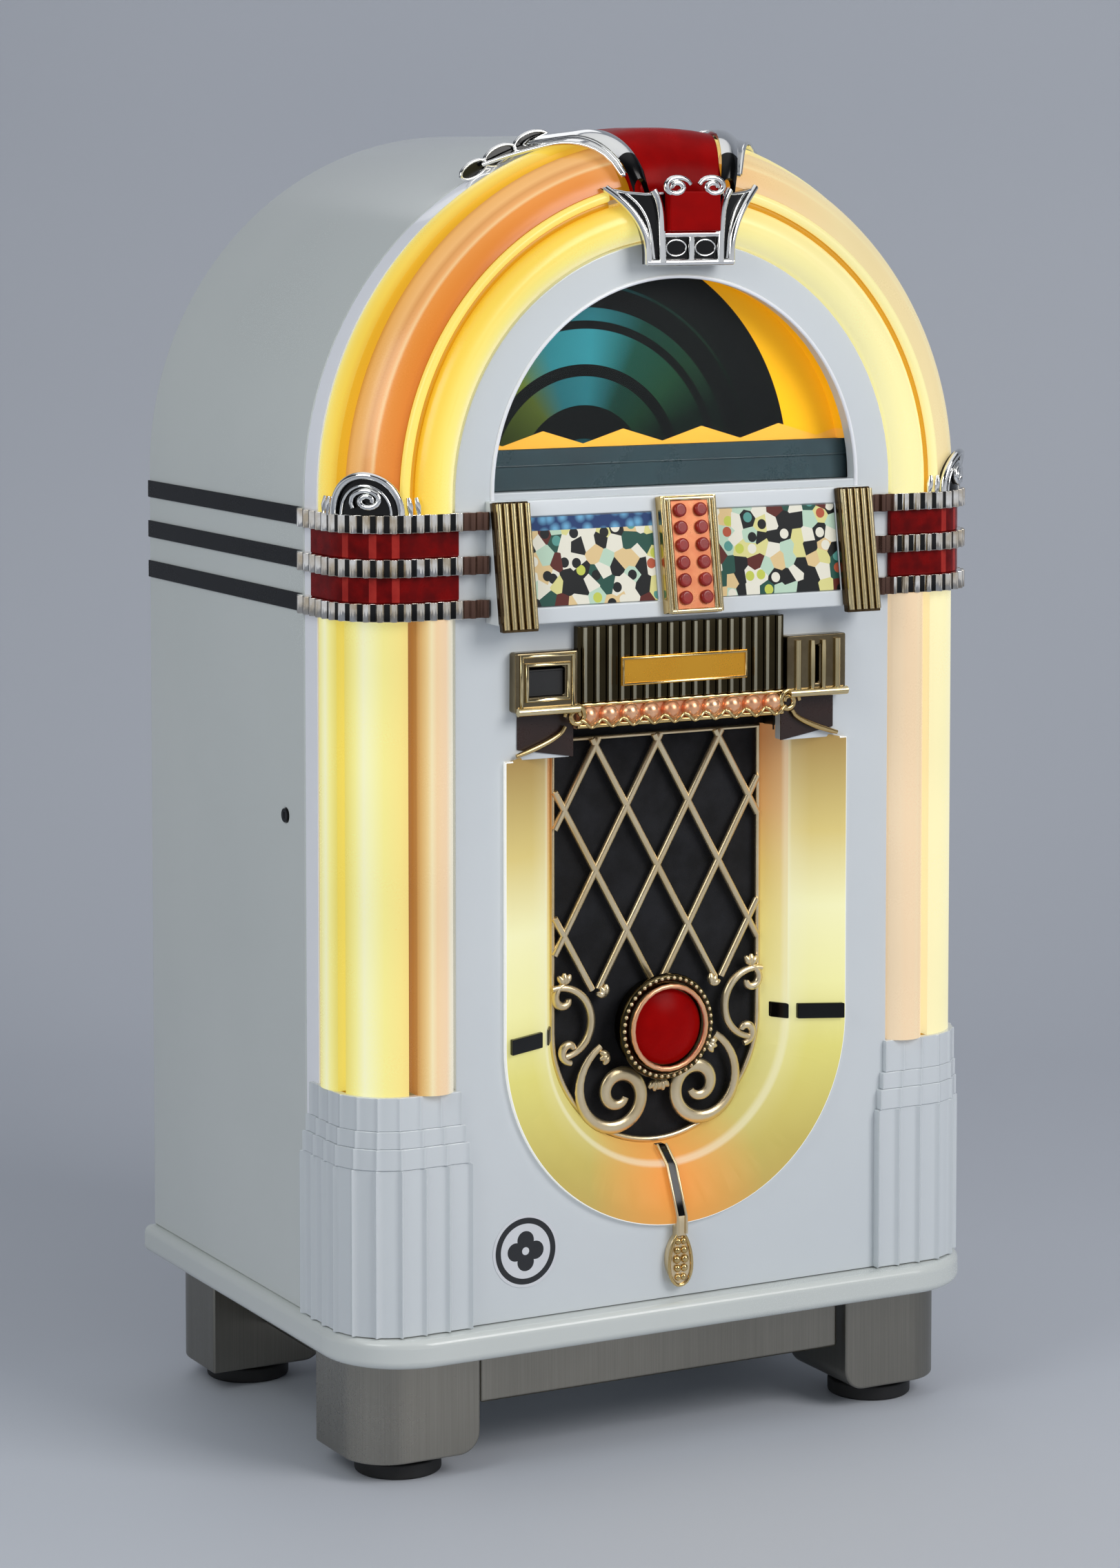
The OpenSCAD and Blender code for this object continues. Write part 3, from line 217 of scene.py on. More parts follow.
soft_box("key_light", (1.6, -3.6, 3.0), 2.2, 92, (1.0, 0.985, 0.97))
soft_box("side_light", (-2.0, -1.0, 1.95), 1.1, 13, (0.97, 1.0, 0.98))
soft_box("rear_light", (0.6, 2.6, 3.6), 1.6, 7)
sky = bpy.data.worlds.new("studio_sky")
bpy.context.scene.world = sky
sky.use_nodes = True
sky_shade = Shade(sky.node_tree)
sky_path = sky_shade.put("LightPath").outputs
sky_seen = sky_shade.maths("MAXIMUM", sky_path["Is Glossy Ray"], sky_path["Is Transmission Ray"])
sky_seen = sky_shade.maths("MAXIMUM", sky_path["Is Camera Ray"], sky_seen)
sky_up = sky_shade.axes(sky_shade.put("TexCoord").outputs["Generated"])[2]
sky_shown = sky_shade.ramp(sky_shade.spread(sky_up, -0.2, 1.0), [
    (0.0, "#d6d9de"), (0.15, "#c4c7cd"), (0.32, "#969aa0"), (0.42, "#34363c"),
    (0.62, "#282a30"), (0.74, "#6e727a"), (0.86, "#e2e4e8"), (1.0, "#eceef0")])
sky_colour = sky_shade.blend(sky_seen, "#9b9ea3", sky_shown)
sky.node_tree.links.new(sky_colour, sky.node_tree.nodes["Background"].inputs["Color"])


# Feet
# Four folded feet with a rail between each pair, in brushed sheet steel, on round black rubber glides.
# The feet are screwed up into the base, and the glides into the feet.
uneven = Shade(bpy.data.node_groups.new("uneven_finish", "ShaderNodeTree"))
for way, kind, *labels in [
        ("INPUT", "Color", "Colour", "Second"), ("INPUT", "Float", "Patches", "Grain", "Smooth", "Rough"),
        ("OUTPUT", "Color", "Colour"), ("OUTPUT", "Float", "Roughness", "Height")]:
    for label in labels:
        uneven.tree.interface.new_socket(label, in_out=way, socket_type="NodeSocket" + kind)
given = uneven.tree.nodes.new("NodeGroupInput").outputs
result = uneven.tree.nodes.new("NodeGroupOutput").inputs
uneven_place = uneven.place()
uneven_patch = uneven.spread(uneven.noise(uneven_place, given["Patches"], 4.0), 0.35, 0.65)
uneven_grain = uneven.noise(uneven_place, given["Grain"], 2.0)
uneven_half = uneven.maths("MULTIPLY", uneven_patch, 0.5)
uneven_both = uneven.maths("MULTIPLY_ADD", uneven_grain, 0.5, uneven_half)
uneven_gloss = uneven.spread(uneven_both, 0.2, 0.8, given["Smooth"], given["Rough"])
uneven.tree.links.new(uneven.blend(uneven_patch, given["Colour"], given["Second"]), result["Colour"])
uneven.tree.links.new(uneven_gloss, result["Roughness"])
uneven.tree.links.new(uneven_grain, result["Height"])


def finish(name, colour, second, patches, grain, gloss, bump=0.0, **constants):
    """A material whose colour, gloss and surface wander a little. Constants go on the shader's sockets."""
    material = bpy.data.materials.new(name)
    material.use_nodes = True
    shade = Shade(material.node_tree)
    look = shade.put("Group", {"Colour": colour, "Second": second, "Patches": patches, "Grain": grain,
                               "Smooth": gloss[0], "Rough": gloss[1]}, node_tree=uneven.tree).outputs
    shade.feed(look["Colour"], "Base Color")
    shade.feed(look["Roughness"], "Roughness")
    if bump:
        shade.emboss(look["Height"], bump, 0.0005)
    shade.fix(**constants)
    return material


def cast_from(name, *nodes):
    """A new piece in the shape of CAD nodes, with its corners welded and its flat faces made whole."""
    pieces = []
    for node in nodes:
        piece = bpy.data.objects.new(name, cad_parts[node].data.copy())
        bpy.context.scene.collection.objects.link(piece)
        pieces.append(piece)
    pick(*pieces)
    if len(pieces) > 1:
        bpy.ops.object.join()
    piece = bpy.context.object
    piece.data.materials.clear()
    bpy.ops.mesh.customdata_custom_splitnormals_clear()
    mode("EDIT")
    bpy.ops.mesh.select_all(action="SELECT")
    bpy.ops.mesh.remove_doubles(threshold=0.00002)
    bpy.ops.mesh.dissolve_limited(angle_limit=radians(0.4))
    mode("OBJECT")
    return piece


def shape(piece, kind, **settings):
    """Adds a modifier and applies it."""
    made = piece.modifiers.new(kind.lower(), kind)
    for name, value in settings.items():
        setattr(made, name, value)
    bpy.ops.object.modifier_apply(modifier=made.name)


def soften(piece, width, segments=2, angle=38.0):
    """Rounds the sharp edges by width, and leaves the flat faces flat in the light."""
    pick(piece)
    sharp = radians(angle)
    if width:
        shape(piece, "BEVEL", width=width, segments=segments, limit_method="ANGLE", angle_limit=sharp,
              use_clamp_overlap=False)
    bpy.ops.object.shade_smooth_by_angle(angle=sharp)
    shape(piece, "WEIGHTED_NORMAL", keep_sharp=True)
    return piece


def coat(piece, *materials):
    """Gives a piece its materials, the first of them all over."""
    for material in materials:
        piece.data.materials.append(material)
    return piece


def dressed(name, node, width, segments, *materials):
    """A piece in the shape of a CAD node, with softened edges and its materials."""
    return coat(soften(cast_from(name, node), width, segments), *materials)


def fit(piece, slot, *replaced, body="front_door"):
    """Fixes a piece to the body it moves with, and hides the CAD nodes it stands for. Its slot is not used.
    """
    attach(piece, body)
    if replaced:
        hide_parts(*replaced)


def refinish(material, *nodes):
    """Gives CAD nodes that keep their own shape a better material."""
    for node in nodes:
        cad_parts[node].material_slots[0].material = material


scratch_scale = (900.0, 900.0, 7.0)
brushed_steel = finish("brushed_steel", "#a09c93", "#8c8981", 2, 200, (0.26, 0.38), Metallic=1)
steel_shade = Shade(brushed_steel.node_tree)
scratch_place = steel_shade.put("Mapping", {"Vector": steel_shade.place(), "Scale": scratch_scale})
scratches = steel_shade.noise(scratch_place.outputs[0], 1.0, 3.0)
scratch_tint = steel_shade.spread(scratches, 0.3, 0.7, 0.86, 1.0)
steel_shade.emboss(scratches, 0.12, 0.0004)
steel_shade.feed(steel_shade.times(steel_shade.fed("Base Color"), scratch_tint), "Base Color")
black_rubber = finish("black_rubber", "#181819", "#242322", 20, 900, (0.5, 0.7), bump=0.2)
steel_feet = cast_from("steel_feet", "base_feet")
rail_end = 0.2450
rail_gap = 0.0055
rail_front = -0.25
rail_rear = 0.26
for corner in steel_feet.data.vertices:
    at_end = rail_end - 0.001 < abs(corner.co.x) < rail_end - 0.0001
    if at_end and rail_front < corner.co.y < rail_rear:
        corner.co.x -= copysign(rail_gap, corner.co.x)
coat(soften(steel_feet, 0.003, 3), brushed_steel)
fit(steel_feet, "steel", "base_feet", body="cabinet")
rubber_glides = dressed("rubber_glides", "glides", 0.003, 3, black_rubber)
fit(rubber_glides, "black_rubber", "glides", body="cabinet")


# Cabinet shell
# Two side panels and the arched roof, veneered in white laminate and butted into one smooth shell that
# the door closes against. It stands on a moulding with rounded edges, and its own edges are eased.
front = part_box("door_frame")[0].y
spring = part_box("arch_roof")[0].z
white_laminate = finish("white_laminate", "#dce0dd", "#d4d9d6", 1.6, 900, (0.18, 0.28),
                        bump=0.05, Coat_Weight=0.25, Coat_Roughness=0.14)
cabinet_shell = cast_from("cabinet_shell", "side_panels", "arch_roof")
select(cabinet_shell, "FACE", lambda place: abs(place.z - spring) < 0.0005)
bpy.ops.mesh.delete(type="FACE")
mode("OBJECT")
coat(soften(cabinet_shell, 0.0025, 3), white_laminate)
fit(cabinet_shell, "white_laminate", "side_panels", "arch_roof", body="cabinet")
refinish(white_laminate, "base_moulding")


# Side stripes
# Three thin black stripes on each side panel, with bright metal ends next to the door. They are
# pressed from one strip and stuck on.
def paint(piece, index, test):
    """Gives the faces that pass the test another of the piece's materials."""
    for face in piece.data.polygons:
        if test(face):
            face.material_index = index


chrome = finish("chrome", "#f2f2f0", "#e8e8e6", 6, 300, (0.05, 0.12), Metallic=1)
stripe_black = finish("stripe_black", "#0a0a0b", "#0f0f10", 8, 500, (0.22, 0.32), Specular_IOR_Level=0.25)
bright_end = front + 0.166
side_stripes = dressed("stripes", "side_stripes", 0.0006, 2, stripe_black, chrome)
paint(side_stripes, 1, lambda face: face.center.y < bright_end)
fit(side_stripes, "stripe_black", "side_stripes", body="cabinet")


# Back and works
# A pressed board back with vents, held by screws, and behind the door the shelves, loudspeakers,
# amplifier, cash box, disc magazine and player. They keep the CAD shape and get their own finishes.
black_plastic = finish("black_plastic", "#161617", "#1e1e1f", 12, 700, (0.35, 0.5), bump=0.1)
refinish(black_plastic, "mains_inlet", "coin_validator")
refinish(finish("back_board", "#3e342c", "#322a24", 14, 1200, (0.6, 0.8), bump=0.3), "back_panel")
refinish(finish("works_board", "#967e60", "#846e54", 9, 800, (0.5, 0.7), bump=0.2),
         "shelves", "speaker_baffle")
refinish(finish("zinc_plate", "#b0b4b6", "#9ca0a4", 24, 400, (0.3, 0.45), Metallic=1),
         "back_screws", "cash_box", "transfer_arm")
refinish(finish("cone_paper", "#28282a", "#1c1c1e", 30, 900, (0.55, 0.75), bump=0.25), "speakers")
refinish(finish("heat_sink", "#303236", "#282a2e", 16, 500, (0.35, 0.45), Metallic=0.8), "amplifier")
refinish(finish("deck_grey", "#585c62", "#4e5258", 8, 600, (0.3, 0.42), bump=0.08), "player_deck")
refinish(finish("magazine_blue", "#2e3442", "#262c3a", 8, 600, (0.3, 0.4)), "disc_magazine", "disc_spindle")
refinish(finish("hinge_steel", "#bebebc", "#acacaa", 18, 400, (0.22, 0.34), Metallic=1),
         "cabinet_hinges", "door_hinges")
refinish(finish("disc_silver", "#dee0e6", "#ced2de", 12, 300, (0.12, 0.2), Metallic=0.9, Coat_Weight=0.8,
                Thin_Film_Thickness=420, Thin_Film_IOR=1.4), "compact_discs")
refinish(finish("lock_steel", "#222224", "#343436", 40, 500, (0.25, 0.4), Metallic=0.9), "lock_barrel")


# Door
# The whole front is one deep moulded door in glossy white, with an arched window, a U-shaped grille
# opening and a trough round its edge, painted with an amber glow and shade between the lit tubes.
def section_place(point):
    """Where a point lies in the section that pilasters and arch share: out from the middle, and back."""
    above = point.z - spring
    out = hypot(point.x, above) if above > 0 else abs(point.x)
    return out, point.y - front


def faces_tubes(face):
    """Whether a door face in the trough looks forwards or outwards, where the amber glow is painted."""
    out, back = section_place(face.center)
    if out < trough_edge or back > trough_back:
        return False
    above = max(face.center.z - spring, 0)
    outwards = (face.normal.x * face.center.x + face.normal.z * above) / out
    return face.normal.y < -0.3 or outwards > 0.3


trough_edge = 0.2864
trough_floor = 0.383
trough_back = 0.106
rim_start = 0.127
white_gloss = finish("white_gloss", "#dee3e6", "#d7dde1", 1.8, 800, (0.14, 0.22), bump=0.04,
                     Coat_Weight=0.5, Coat_Roughness=0.08)
# The trough's amber colour and glow are painted light: the tubes' glow and the shade in the grooves.
trough_painted_glow = finish("trough_painted_glow", "#cc9c2a", "#bc8c22", 5, 300, (0.4, 0.5),
                      Emission_Color="#e4a618", Emission_Strength=0.24)
# The door's outer rim gets a faint glow, a painted highlight for light caught on its rounded edge.
rim_painted_highlight = finish("rim_painted_highlight", "#eef0f4", "#e8eaf0", 3, 600, (0.14, 0.22), Coat_Weight=0.4,
                   Emission_Color="#f4f4ff", Emission_Strength=0.10)
door = cast_from("door", "door_frame")
for corner in door.data.vertices:
    rim_out, rim_back = section_place(corner.co)
    if rim_out > trough_floor and abs(rim_back - rim_start) < 0.001:
        corner.co.y = front + trough_back
coat(soften(door, 0.0015, 2), white_gloss, trough_painted_glow, rim_painted_highlight)
paint(door, 2, lambda face: section_place(face.center)[0] > trough_floor)
paint(door, 1, faces_tubes)
fit(door, "white_gloss", "door_frame")


# Lit tubes
# Half-round tubes of coloured plastic with lamps behind them: yellow, orange and yellow round the arch,
# and yellow, pale yellow and peach up each pilaster. They are vacuum formed and slide into the trough.
# Their colours hold painted highlights and painted shade, and turn paler towards the right as painted
# light.
def ease(start, end, share):
    """A value that goes from start to end as share goes from 0 to 1."""
    return start + (end - start) * share


def tube_place(point):
    """How far a point of a tube lies from the tube's crown, from -1 to 1, edge to edge."""
    out, back = section_place(point)
    if out < tube_front_end and back < corner_back:
        return (out - tube_front_mid) / tube_front_half
    if back > tube_side_start and out > corner_out + 0.02:
        return (tube_side_mid - back) / tube_side_half
    return degrees(atan2(out - corner_out, corner_back - back)) / 45 - 1


def narrow(piece):
    """Narrows the tubes round the corner and along the side, so that a deep groove opens beside each."""
    for corner in piece.data.vertices:
        out, back = section_place(corner.co)
        first, last = corner_arch if corner.co.z > tube_split else corner_pilaster
        if out > corner_out - 0.0005 and back < corner_back + 0.0005:
            angle = atan2(out - corner_out, corner_back - back)
            radius = hypot(out - corner_out, corner_back - back)
            turned = radians(ease(first, last, angle / (pi / 2)))
            new_out = corner_out + radius * sin(turned)
            corner.co.y = front + corner_back - radius * cos(turned)
            if corner.co.z > spring:
                corner.co.z = spring + (corner.co.z - spring) * new_out / out
            corner.co.x *= new_out / out
        elif out > corner_out and back > tube_side_start:
            corner.co.y = front + ease(*tube_side_new, (back - tube_side_start) / (2 * tube_side_half))


def measure(piece, value_at):
    """Stores a value for each corner of the piece's mesh, for its material to read."""
    values = piece.data.attributes.new("across", "FLOAT", "POINT").data
    for corner, value in zip(piece.data.vertices, values):
        value.value = value_at(corner.co)


def lit_plastic(name, stops, pale, glow):
    """Plastic lit from behind, its colours across the tube holding painted highlights and shade, paler to
    the right as painted light.
    """
    material = finish(name, stops[0][1], stops[-1][1], 6, 400, (0.24, 0.34), Coat_Weight=0.15,
                      Coat_Roughness=0.25, Emission_Strength=glow)
    shade = Shade(material.node_tree)
    across = shade.put("Attribute", attribute_name="across").outputs["Fac"]
    colours = shade.ramp(shade.spread(across, -1.0, 1.0), stops)
    place = shade.place()
    light = shade.blend(shade.spread(shade.axes(place)[0], -0.12, 0.22, 0.0, 0.85), colours, pale)
    dimmed = shade.times(light, shade.spread(shade.noise(place, 4.0, 1.0), 0.35, 0.75, 1.0, 0.88))
    shade.feed(dimmed, "Emission Color")
    shade.feed(shade.times(dimmed, "#c4c4c4"), "Base Color")
    return material


def bars(routes, thickness, material, ends=1.0, closed=False):
    """Round bars bent along routes of points, each tapered to ends times its thickness at both ends."""
    curve = bpy.data.curves.new("bars", "CURVE")
    curve.dimensions = "3D"
    curve.bevel_depth = thickness
    curve.bevel_resolution = 2
    curve.use_fill_caps = True
    for route in routes:
        spline = curve.splines.new("POLY")
        spline.points.add(len(route) - 1)
        spline.use_cyclic_u = closed
        for i, (point, place) in enumerate(zip(spline.points, route)):
            point.co = (*place, 1.0)
            point.radius = 1 + (ends - 1) * abs(2 * i / (len(route) - 1) - 1) ** 2
    piece = bpy.data.objects.new("bars", curve)
    bpy.context.scene.collection.objects.link(piece)
    pick(piece)
    bpy.ops.object.convert(target="MESH")
    bpy.ops.object.shade_smooth_by_angle(angle=radians(50))
    return coat(bpy.context.object, material)


def joined(name, *pieces):
    """Welds pieces into one object, which keeps all their materials."""
    pick(*pieces)
    bpy.ops.object.join()
    bpy.context.object.name = name
    return bpy.context.object


def arch_routes(out, back):
    """Lines that run up both pilasters and round the arch to the keystone, in the shared section."""
    bow = [radians(ridge_end) * i / 36 for i in range(37)]
    half = [(out, ridge_foot), *[(out * cos(a), spring + out * sin(a)) for a in bow]]
    return [[Vector((s * x, front + back, z)) for x, z in half] for s in (-1, 1)]


corner_out = 0.340
corner_back = 0.064
tube_front_mid = 0.312
tube_front_half = 0.023
tube_front_end = 0.336
tube_side_mid = 0.098
tube_side_half = 0.0295
tube_side_start = 0.0685
tube_side_new = (0.0590, 0.1045)
tube_split = 1.05
corner_arch = (13, 71)
corner_pilaster = (4, 73)
ridge_foot = 1.098
ridge_end = 74.5
# Each tube's colours across it hold painted light: pale painted highlights near the crown, such as the
# orange tube's pale line, and darker painted shade at the edges beside the grooves. The last colour of each
# is the painted paler light towards the right.
yellow_light = lit_plastic("yellow_tube", [
    (0.0, "#fff3b2"), (0.28, "#fff088"), (0.58, "#ffe268"), (0.84, "#fad450"),
    (1.0, "#eebc32")], "#fff7b8", 0.60)
pale_light = lit_plastic("pale_yellow_tube", [
    (0.0, "#fade84"), (0.12, "#fce88c"), (0.36, "#fcf298"), (0.58, "#fffdc0"),
    (0.66, "#fffdcc"), (0.80, "#fff79e"), (1.0, "#f4e26e")], "#fff6c4", 0.60)
orange_light = lit_plastic("orange_tube", [
    (0.0, "#d8761e"), (0.12, "#ec8a30"), (0.42, "#f49a42"), (0.47, "#ffd092"),
    (0.53, "#f6b068"), (0.62, "#e4a058"), (0.72, "#fabe74"), (0.90, "#f8b660"),
    (1.0, "#e29a36")], "#fef2ba", 0.50)
peach_light = lit_plastic("peach_tube", [
    (0.0, "#ece6d2"), (0.20, "#f6eace"), (0.32, "#fadab2"), (0.58, "#fcdaaa"),
    (0.70, "#ffeebe"), (0.80, "#f8d694"), (0.92, "#eaba70"), (0.975, "#d6a05c"),
    (1.0, "#b27a42")], "#fadeb8", 0.52)
# The gold bar in the arch's groove, with its glow, is painted light: the groove's shade and the tubes'
# glow.
groove_painted_glow = finish("groove_painted_glow", "#ce961e", "#be8616", 6, 300, (0.3, 0.4),
                     Emission_Color="#dc9a12", Emission_Strength=0.30)
yellow_tubes = coat(cast_from("yellow_lenses", "yellow_tubes"), yellow_light, pale_light)
orange_arch = coat(cast_from("orange_lens", "orange_tube"), orange_light)
peach_tubes = coat(cast_from("peach_lenses", "peach_tubes"), peach_light)
for tubes in (yellow_tubes, orange_arch, peach_tubes):
    measure(tubes, tube_place)
narrow(yellow_tubes)
narrow(orange_arch)
paint(yellow_tubes, 1, lambda face: face.center.z < tube_split)
for tubes in (yellow_tubes, orange_arch, peach_tubes):
    soften(tubes, 0.0)
ridge = bars(arch_routes(0.3478, 0.0005), 0.0060, yellow_light)
groove = bars(arch_routes(0.3390, 0.0070), 0.0058, groove_painted_glow)
fit(joined("yellow_lenses", yellow_tubes, ridge, groove), "yellow_lens", "yellow_tubes")
fit(orange_arch, "orange_lens", "orange_tube")
fit(peach_tubes, "peach_lens", "peach_tubes")
refinish(finish("lamp_glow", "#faf4e2", "#f4ecd6", 8, 200, (0.2, 0.3),
                Emission_Color="#ffe8b4", Emission_Strength=1), "lamps")


# Window
# A pane of clear glass in the arch, with a printed picture board behind it and a dark teal sill along
# its lower edge. The print is a black record on a yellow ground, with arcs for sound, of its own design.
def rectangle(left, low, right, high):
    """The four corners of an outline."""
    return [(left, low), (right, low), (right, high), (left, high)]


def straight(start, end):
    """A straight route."""
    return [Vector(start).lerp(Vector(end), share) for share in (0.0, 0.5, 1.0)]


def edit_all(*steps):
    """Takes steps on the whole mesh of the active piece, then turns its faces outwards."""
    mode("EDIT")
    for step, settings in steps:
        bpy.ops.mesh.select_all(action="SELECT")
        step(**settings)
    bpy.ops.mesh.select_all(action="SELECT")
    bpy.ops.mesh.normals_make_consistent(inside=False)
    mode("OBJECT")


def cut_plate(outline, place, extrude):
    """A flat plate: a disc whose corners are moved on to the outline, then extruded."""
    bpy.ops.mesh.primitive_circle_add(vertices=len(outline), radius=1, fill_type="NGON")
    piece = bpy.context.object
    for corner, point in zip(piece.data.vertices, outline):
        corner.co = place(*point)
    edit_all((bpy.ops.mesh.extrude_region_move, {"TRANSFORM_OT_translate": {"value": extrude}}))
    return piece


def both_sides(piece):
    """Adds the piece's mirror image on the other side of the jukebox."""
    pick(piece)
    shape(piece, "MIRROR", use_mirror_merge=False)
    return piece


glass = finish("window_glass", "#fafcfc", "#f6fafa", 2, 300, (0.02, 0.04), IOR=1.16, Transmission_Weight=1)
glass_shade = Shade(glass.node_tree)
glass_shadow = glass_shade.put("LightPath").outputs["Is Shadow Ray"]
glass_clear = glass_shade.put("BsdfTransparent").outputs[0]
glass_mix = glass_shade.put("MixShader", [glass_shadow, glass_shade.shader.outputs[0], glass_clear])
glass_output = glass.node_tree.nodes["Material Output"]
glass.node_tree.links.new(glass_mix.outputs[0], glass_output.inputs["Surface"])
refinish(glass, "window_glass")
# The print also glows faintly in its own colours, a painted glow.
picture = finish("printed_picture", "#141816", "#0e1211", 9, 500, (0.3, 0.4),
                 Specular_IOR_Level=0.1, Emission_Strength=0.35)
board = Shade(picture.node_tree)
picture_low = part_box("window_glass")[0].z
record_reach = 0.272
hill_half = 0.052
hill_slope = 0.30
hill_low = 0.038
ground_top = 0.034
record_x, _, record_z = board.axes(board.place((-0.100, 0.0, picture_low + 0.020)))
record_distance = board.distance(record_x, record_z, (0.0, 0.0))
record_angle = board.maths("ARCTAN2", record_z, record_x)
arc_colours = board.ramp(board.spread(record_angle, 0.0, pi), [
    (0.0, "#080c0b"), (0.14, "#0a1812"), (0.24, "#1a3e28"), (0.36, "#16463a"),
    (0.48, "#348a94"), (0.60, "#2e7c84"), (0.70, "#607028"), (0.82, "#46541a"),
    (1.0, "#121a0c")])
arc_bands = board.ramp(board.spread(record_distance, 0.0, record_reach), [
    (0.0, "#787878"), (0.16, "#000000"), (0.30, "#bebebe"), (0.42, "#000000"),
    (0.47, "#ebebeb"), (0.62, "#000000"), (0.655, "#c8c8c8"), (0.71, "#000000"),
    (0.80, "#969696"), (0.812, "#000000")], "CONSTANT")
record_print = board.blend(arc_bands, "#060909", arc_colours)
ground_colour = board.blend(board.spread(record_z, 0.0, 0.22), "#fcb816", "#e8a80e")
off_record = board.maths("GREATER_THAN", record_distance, record_reach)
picture_back = board.blend(off_record, record_print, ground_colour)
hill_step = board.maths("PINGPONG", record_x, hill_half)
hill_line = board.maths("MULTIPLY_ADD", hill_step, hill_slope, hill_low)
picture_view = board.blend(board.maths("LESS_THAN", record_z, hill_line), picture_back, "#f4b242")
picture_print = board.blend(board.maths("LESS_THAN", record_z, ground_top), picture_view, "#080c0c")
board.feed(picture_print, "Base Color", "Emission Color")
refinish(picture, "picture_board")
sill_paint = finish("sill_teal", "#283e44", "#20343a", 9, 500, (0.25, 0.35))
sill_half = 0.2405
sill_tall = 0.046
sill_low = picture_low + 0.009
sill_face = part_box("window_glass")[1].y + 0.0006
sill = cut_plate(rectangle(-sill_half, 0.0, sill_half, sill_tall),
                 lambda x, z: Vector((x, sill_face, sill_low + z)), (0, 0.003, 0))
sill_ends = [(x, sill_face, sill_low + 0.6 * sill_tall) for x in (-sill_half, sill_half)]
coat(soften(sill, 0.0005, 1), sill_paint)
fit(joined("window_sill", sill, bars([straight(*sill_ends)], 0.0012, sill_paint)), "picture")
pane_radius = 0.2395
pane_centre = 1.121
rim_bow = [radians(ease(-13, 193, i / 64)) for i in range(65)]
rim_route = [Vector((pane_radius * cos(a), front - 0.0004, pane_centre + pane_radius * sin(a)))
             for a in rim_bow]
# The window's rim carries the same painted highlight.
window_rim = bars([rim_route], 0.0024, rim_painted_highlight)
window_rim.name = "window_rim"
fit(window_rim, "white_gloss")


# Keystone and crown
# A cast keystone with swept sides, chrome edges and black enamel panels round a red crest lens, and
# above it a red crown lens between two bright ribs that fan out towards the back of the arch.
def flare(piece):
    """Fans the crown and its ribs out towards the back of the arch."""
    for corner in piece.data.vertices:
        out, back = section_place(corner.co)
        if corner.co.z > spring + crown_low and back > -0.008:
            fan = ease(*crown_flare, max(back, 0) / crown_depth)
            angle = atan2(corner.co.x, corner.co.z - spring) * fan
            corner.co.x = out * sin(angle)
            corner.co.z = spring + out * cos(angle)


def on_painted_highlight(face):
    """Whether a face of an inlay is one of the pale upright lines in it, which are painted highlights."""
    if not inlay_low < face.center.z < spring or abs(face.normal.z) > 0.5:
        return False
    places = [section_place(red_lenses.data.vertices[i].co) for i in face.vertices]
    angles = [degrees(atan2(out - corner_out, corner_back - back)) for out, back in places]
    return any(min(angles) < line < max(angles) for line in highlight_angles)


crown_low = 0.30
crown_flare = (0.90, 1.46)
crown_depth = 0.128
crest_narrow = 0.90
crest_tall = 1.12
crest_mid = spring + 0.319
inlay_low = 0.95
highlight_angles = [15, 41, 67]
red_lens = finish("red_lens", "#960606", "#760204", 16, 300, (0.26, 0.36), Specular_IOR_Level=0.04,
                  Emission_Color="#960604", Emission_Strength=0.16)
red_inlay = finish("red_inlay", "#760808", "#540305", 60, 300, (0.26, 0.38), Specular_IOR_Level=0.10,
                   Emission_Color="#6e0404", Emission_Strength=0.08)
# Pale upright lines on the inlays are painted highlights.
red_painted_highlight = finish("red_painted_highlight", "#b0342c", "#a02824", 60, 300, (0.26, 0.38), Specular_IOR_Level=0.10)
red_lenses = cast_from("red_lenses_lit", "red_lenses")
flare(red_lenses)
for corner in red_lenses.data.vertices:
    if corner.co.z > spring and corner.co.y < front - 0.012:
        corner.co.x *= crest_narrow
        corner.co.z = ease(crest_mid, corner.co.z, crest_tall)
coat(soften(red_lenses, 0.0016, 3), red_lens, red_inlay, red_painted_highlight)
paint(red_lenses, 1, lambda face: inlay_low < face.center.z < spring)
paint(red_lenses, 2, on_painted_highlight)
fit(red_lenses, "red_lens", "red_lenses")


def key_edge(share):
    """Half the keystone's width at a share of its height: upright below, swept out to its ears."""
    return key_foot + (key_ear - key_foot) * max((share - 0.10) / 0.90, 0) ** 2.2


def on_key(x, z, proud=0.0):
    """A point of the keystone's face, from its middle and its foot. Its ears bend back round the tubes."""
    bend = ear_bend * max((abs(x) - ear_start) / (key_ear - ear_start), 0) ** 1.5
    return Vector((x, key_back - key_deep - proud + bend, key_low + z))


def key_curve(foot, top, sweep, power, low, high, proud):
    """An upright route on the keystone's face that leans from foot to top and sweeps out."""
    return [on_key(ease(foot, top, s) + sweep * s ** power, ease(low, high, s), proud) for s in shares]


def mapped_grid(columns, rows, place, thickness, material):
    """A sheet of squares whose corners go to place(across, up), from -1 to 1 and from 0 to 1."""
    bpy.ops.mesh.primitive_grid_add(x_subdivisions=columns, y_subdivisions=rows, size=2)
    piece = bpy.context.object
    for corner in piece.data.vertices:
        corner.co = place(corner.co.x, (corner.co.y + 1) / 2)
    edit_all((bpy.ops.mesh.remove_doubles, {"threshold": 0.00002}))
    shape(piece, "SOLIDIFY", thickness=thickness, offset=0.0)
    edit_all()
    bpy.ops.object.shade_smooth_by_angle(angle=radians(40))
    return coat(piece, material)


def curled(steps, pace, shrink, start=0.0, way=1):
    """A spiral that shrinks from radius 1, as pairs across and up."""
    turned = [(exp(-shrink * pace * i), start + way * pace * i) for i in range(steps)]
    return [(radius * cos(angle), radius * sin(angle)) for radius, angle in turned]


